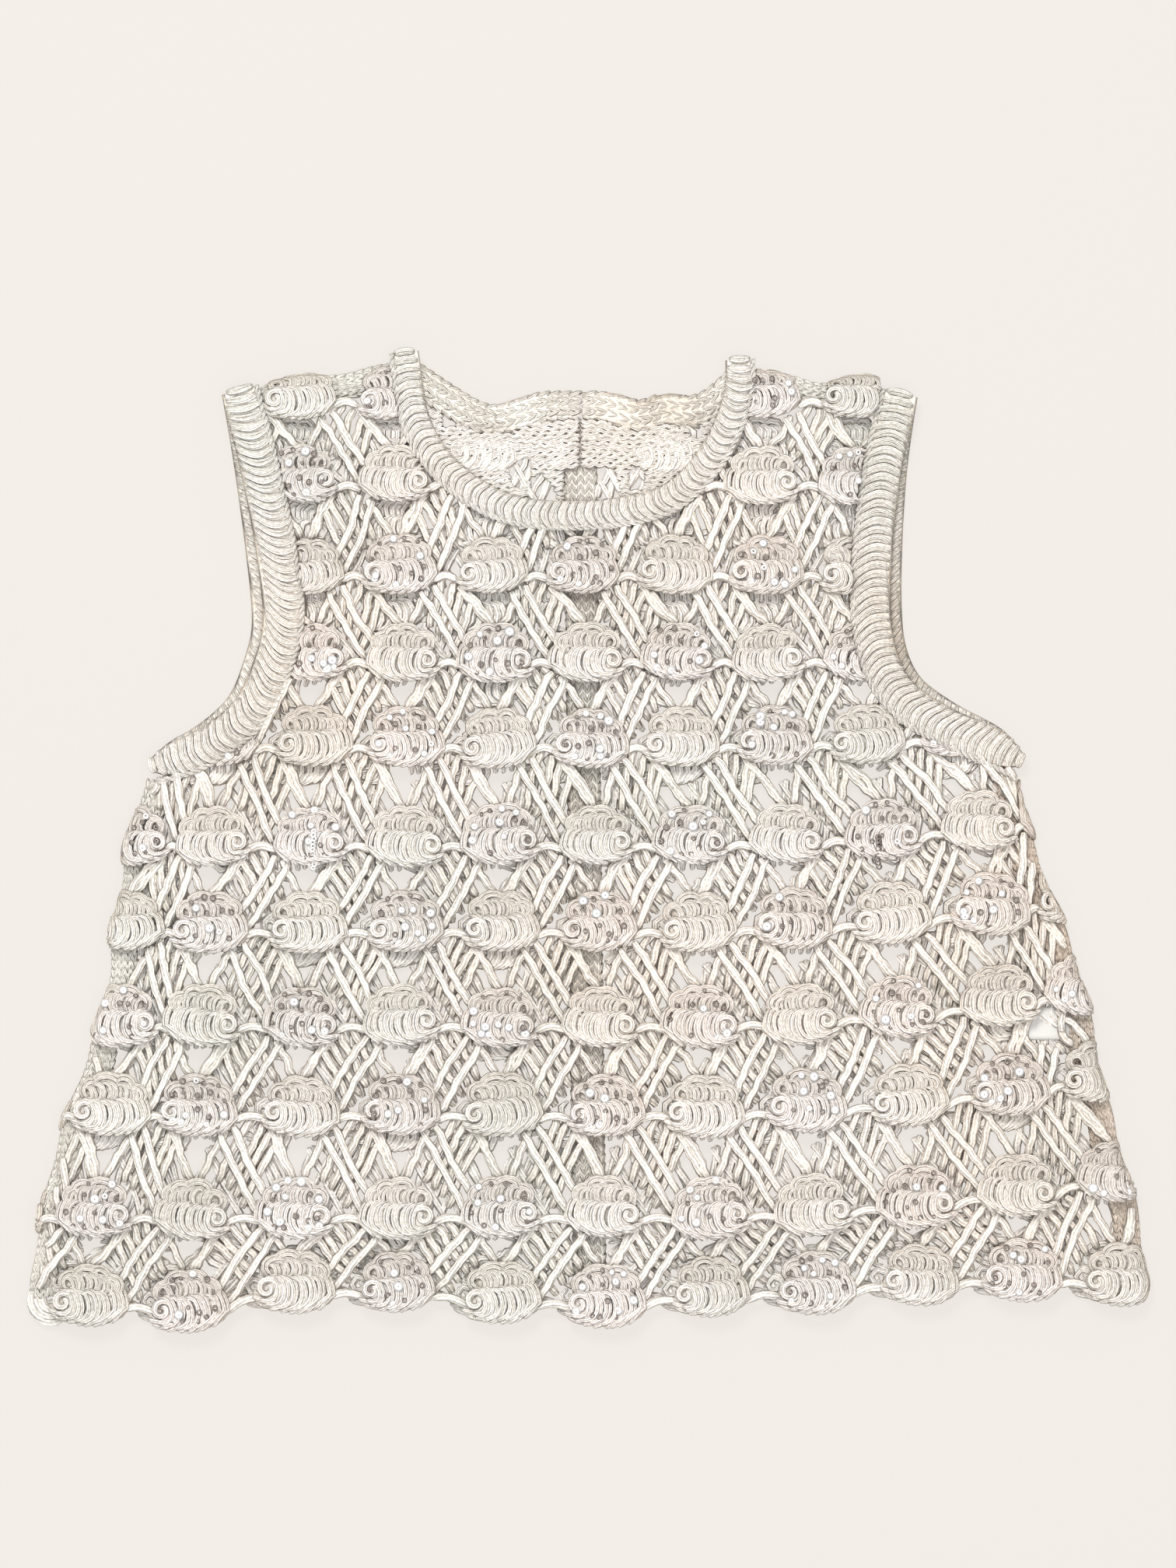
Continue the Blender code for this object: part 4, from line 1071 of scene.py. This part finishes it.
class Nodes:
    """A small helper that adds, sets and links shader nodes."""

    def __init__(self, name):
        self.material = bpy.data.materials.new(name)
        self.material.use_nodes = True
        self.tree = self.material.node_tree
        self.shader = self.tree.nodes["Principled BSDF"]

    def add(self, kind, **settings):
        node = self.tree.nodes.new(kind)
        for key, value in settings.items():
            setattr(node, key, value)
        return node

    def put(self, node, inputs):
        """Give a node's inputs a number, a colour or a link each."""
        for key, value in inputs.items():
            if isinstance(value, bpy.types.NodeSocket):
                self.tree.links.new(value, node.inputs[key])
            else:
                node.inputs[key].default_value = (*value, 1.0) if isinstance(value, tuple) else value
        return node

    def where(self):
        return self.add("ShaderNodeTexCoord").outputs["Object"]

    def axis(self, vector, index):
        return self.put(self.add("ShaderNodeSeparateXYZ"), {0: vector}).outputs[index]

    def math(self, operation, *values):
        return self.put(self.add("ShaderNodeMath", operation=operation), dict(enumerate(values))).outputs[0]

    def ramp(self, value, stops):
        node = self.put(self.add("ShaderNodeValToRGB"), {0: value})
        ramp = node.color_ramp
        while len(ramp.elements) < len(stops):
            ramp.elements.new(0.5)
        for element, (position, colour) in zip(ramp.elements, stops):
            element.position = position
            element.color = (*colour, 1.0)
        return node.outputs[0]

    def mix(self, kind, share, first, second):
        node = self.add("ShaderNodeMix", data_type="RGBA", blend_type=kind)
        return self.put(node, {0: share, 6: first, 7: second}).outputs[2]

    def noise(self, vector, scale, detail):
        node = self.add("ShaderNodeTexNoise")
        return self.put(node, {"Scale": scale, "Detail": detail, "Vector": vector}).outputs["Fac"]

    def bump(self, height, **sizes):
        return self.put(self.add("ShaderNodeBump"), {"Height": height, **sizes}).outputs[0]


def cotton(name, light, shade, lay_length, depths, plies=5, groove=0.8, dye_and_shade_patch=(0.88, 0.885, 0.87)):
    """Soft matt yarn: ply lines from the UV map with painted shade in their grooves, fine fibres, uneven dye
    that a dark patch colour turns into painted shade patches, and painted shade deep in the lace and on
    flanks that face down.
    """
    nodes = Nodes(name)
    where = nodes.where()
    uv = nodes.add("ShaderNodeUVMap", uv_map="yarn").outputs[0]
    turn = nodes.math("MULTIPLY", nodes.axis(uv, 1), 2.0 * math.pi * plies)
    twist = nodes.math("MULTIPLY", nodes.axis(uv, 0), 2.0 * math.pi / lay_length)
    wave = nodes.math("SINE", nodes.math("ADD", turn, twist))
    ply = nodes.math("POWER", nodes.math("ADD", nodes.math("MULTIPLY", wave, 0.5), 0.5), 0.6)
    fibre, fuzz = nodes.noise(where, 640.0, 3.0), nodes.noise(where, 420.0, 2.0)
    dye_and_shade_patches, warmth = nodes.noise(where, 17.0, 2.0), nodes.noise(where, 6.5, 1.0)
    depth = nodes.add("ShaderNodeMapRange")
    low, high = depths
    nodes.put(depth, {"From Min": low * MM, "From Max": high * MM, "Value": nodes.axis(where, 2)})
    upward = nodes.axis(nodes.add("ShaderNodeNewGeometry").outputs["Normal"], 2)
    # Painted shade: the grooves between the plies take the shade colour, their crests the light one.
    base = nodes.mix("MIX", ply, shade, light)
    for value, stops in (
        (warmth, [(0.36, (0.972, 0.992, 0.985)), (0.5, WHITE), (0.64, (1.0, 0.968, 0.938))]),
        # Uneven dye patches; where the patch colour is dark, as on the back bands, they are painted shade.
        (dye_and_shade_patches, [(0.3, dye_and_shade_patch), (0.6, WHITE)]),
        # Painted shade deep in the lace: the lower the yarn, the darker, up to full colour at the top
        # height.
        (depth.outputs[0], [(0.0, (0.84, 0.80, 0.745)), (1.0, WHITE)]),
        # Painted shade on the flanks: the less a surface faces up, the darker it is.
        (upward, [(0.0, (0.50, 0.45, 0.40)), (0.3, (0.84, 0.80, 0.75)), (0.6, WHITE)]),
        (fibre, [(0.37, (0.76, 0.745, 0.72)), (0.58, WHITE)]),
    ):
        base = nodes.mix("MULTIPLY", 1.0, base, nodes.ramp(value, stops))
    rough = nodes.math("ADD", nodes.math("MULTIPLY", fibre, 0.55), nodes.math("MULTIPLY", fuzz, 0.45))
    relief = nodes.math("ADD", nodes.math("MULTIPLY", ply, groove), rough)
    nodes.put(nodes.shader, {
        "Base Color": base,
        "Roughness": 0.88,
        "Specular IOR Level": 0.25,
        "Sheen Weight": 0.25,
        "Sheen Roughness": 0.5,
        "Normal": nodes.bump(relief, Strength=0.85, Distance=0.0011),
    })
    return nodes.material


def sequin_finish(name, colour, edge, roughness, metallic):
    """Glossy plastic or foil with a slight unevenness."""
    nodes = Nodes(name)
    cloud = nodes.noise(nodes.where(), 260.0, 2.0)
    nodes.put(nodes.shader, {
        "Base Color": nodes.mix("MIX", cloud, edge, colour),
        "Roughness": roughness,
        "Metallic": metallic,
        "Coat Weight": 0.6,
        "Coat Roughness": 0.06,
    })
    return nodes.material


def ribbon_finish(name):
    """Woven satin ribbon with fine cross threads."""
    nodes = Nodes(name)
    weave = nodes.add("ShaderNodeTexWave", wave_type="BANDS", bands_direction="Y")
    nodes.put(weave, {"Scale": 900.0, "Distortion": 0.4, "Vector": nodes.where()})
    threads = weave.outputs["Fac"]
    nodes.put(nodes.shader, {
        "Base Color": nodes.ramp(threads, [(0.0, (0.65, 0.64, 0.62)), (1.0, (0.84, 0.83, 0.805))]),
        "Roughness": 0.5,
        "Normal": nodes.bump(threads, Distance=0.0001),
    })
    return nodes.material


def floor_finish():
    """A plain pale floor that keeps its own light under the lace's gaps."""
    nodes = Nodes("floor_pale")
    nodes.put(nodes.shader, {
        "Base Color": (0.08, 0.078, 0.074),
        "Roughness": 0.9,
        "Specular IOR Level": 0.0,
        "Emission Color": (0.762, 0.724, 0.684),
        "Emission Strength": 1.0,
    })
    return nodes.material


def make_materials():
    """Every finish, by the name that the pieces ask for; the colours are a light and a shade."""
    cream = (0.965, 0.94, 0.91), (0.835, 0.785, 0.735)
    plain = (0.93, 0.90, 0.865), (0.76, 0.705, 0.65)
    pink = (0.935, 0.89, 0.87), (0.755, 0.69, 0.65)
    pale = (1.0, 0.97, 0.925), (0.89, 0.84, 0.775)
    grey = (0.915, 0.89, 0.84), (0.79, 0.75, 0.69)
    # The right seam's tan is painted shadow, the brown shade inside the right side's fold.
    fold_shadow_tan = (0.78, 0.68, 0.59), (0.62, 0.52, 0.44)
    return {
        "lace": cotton("cotton_lace", *cream, 22.0, LACE_SHADE_HEIGHTS),
        "scallop": cotton("cotton_scallop", *plain, 22.0, SCALLOP_SHADE_HEIGHTS),
        "scallop_pink": cotton("cotton_scallop_pink", *pink, 22.0, SCALLOP_SHADE_HEIGHTS),
        "lace_back": cotton("cotton_lace_back", *cream, 18.0, BACK_SHADE_HEIGHTS),
        "band": cotton("cotton_band", *pale, 40.0, BAND_SHADE_HEIGHTS, 6, 1.0, dye_and_shade_patch=(0.93, 0.92, 0.90)),
        # The dark patch colour here is painted shade on the back arm bands, the back neck band and the
        # centre strip.
        "band_back": cotton("cotton_band_back", *grey, 30.0, BACK_SHADE_HEIGHTS, 5, 1.0, dye_and_shade_patch=(0.70, 0.66, 0.61)),
        "seam_left": cotton("cotton_seam_left", *grey, 60.0, BACK_SHADE_HEIGHTS, groove=0.6),
        "seam_right": cotton("cotton_seam_right_painted_fold_shadow", *fold_shadow_tan, 60.0, BACK_SHADE_HEIGHTS, groove=0.6),
        "ribbon": ribbon_finish("label_ribbon"),
        # The clear sequins' white is a painted glint; the dark ones' grey-brown is partly their own tint and
        # partly painted shade.
        "sequins_clear": sequin_finish("sequin_clear_painted_glint", WHITE, (0.94, 0.93, 0.94), 0.3, 0.3),
        "sequins_dark": sequin_finish("sequin_dark_part_painted_shade", (0.36, 0.31, 0.28), (0.16, 0.13, 0.115), 0.3, 0.75),
    }


def build():
    """Make every piece and tie it to the frame."""
    materials = make_materials()
    (lace, plain, bright), sequinned, regions, folds = front_lace(materials)
    discs = sequins(sequinned, regions, folds, materials)
    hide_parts("front_panel")
    for piece in (lace, plain, bright):
        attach(piece, "root")
    for piece in discs:
        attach(piece, "root")
    trims = bands(materials)
    for node, piece in trims.items():
        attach(piece, "root")
        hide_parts(node)
    label = ribbon("care_label_ribbon", "care_label", materials["ribbon"])
    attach(label, "root")
    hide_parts("care_label")
    backs = {}
    for side in OUTWARD:
        strands, dense = back_lace(side, materials)
        for piece in (strands, dense):
            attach(piece, "root")
        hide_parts(f"back_panel_{side}")
        backs[side] = (strands, dense)
    declare_sheets(backs)


def declare_sheets(backs):
    """Work out the flat area of the front's lace and of each half of the back's; the areas are not kept."""
    flat_area(front_regions(0.0, 0.0))
    for side, (strands, dense) in backs.items():
        flat_area(back_regions(side, 0.0))


def make_floor():
    """A plain pale floor under the garment."""
    bpy.ops.mesh.primitive_plane_add(size=6.0, location=(0.0, 0.0, -0.0005))
    floor = bpy.context.object
    floor.name = "floor"
    floor.data.materials.append(floor_finish())


def area_light(name, place, size, power, colour):
    """A soft square light aimed at the garment."""
    data = bpy.data.lights.new(name, "AREA")
    data.size = size
    data.energy = power
    data.color = colour
    lamp = bpy.data.objects.new(name, data)
    lamp.location = place
    bpy.context.collection.objects.link(lamp)
    aim = -np.array(place)
    lamp.rotation_euler = (
        math.atan2(math.hypot(aim[0], aim[1]), -aim[2]),
        0.0,
        math.atan2(aim[0], -aim[1]) + math.pi,
    )


def make_light():
    """Soft studio light, a little stronger from above the neck."""
    area_light("key", (-0.45, 1.1, 2.4), 0.7, 46.0, STUDIO_WHITE)
    area_light("fill", (0.3, -0.3, 2.6), 1.2, 25.5, (0.98, 0.99, 1.0))
    world = bpy.data.worlds.new("studio")
    world.use_nodes = True
    background = world.node_tree.nodes["Background"]
    background.inputs["Color"].default_value = (*STUDIO_WHITE, 1.0)
    background.inputs["Strength"].default_value = 0.835
    bpy.context.scene.world = world


def make_camera():
    """Straight above the garment, framed as in the photograph."""
    data = bpy.data.cameras.new("camera")
    data.lens = 80.0
    data.sensor_fit = "VERTICAL"
    data.sensor_height = 24.0
    data.clip_end = 20.0
    camera = bpy.data.objects.new("camera", data)
    frame_height = 0.8064
    frame_middle = 0.0302
    level = 0.012
    camera.location = (0.0, frame_middle, level + frame_height * data.lens / data.sensor_height)
    bpy.context.collection.objects.link(camera)
    bpy.context.scene.camera = camera


build()
make_floor()
make_light()
make_camera()
bpy.context.scene.view_settings.view_transform = "Standard"
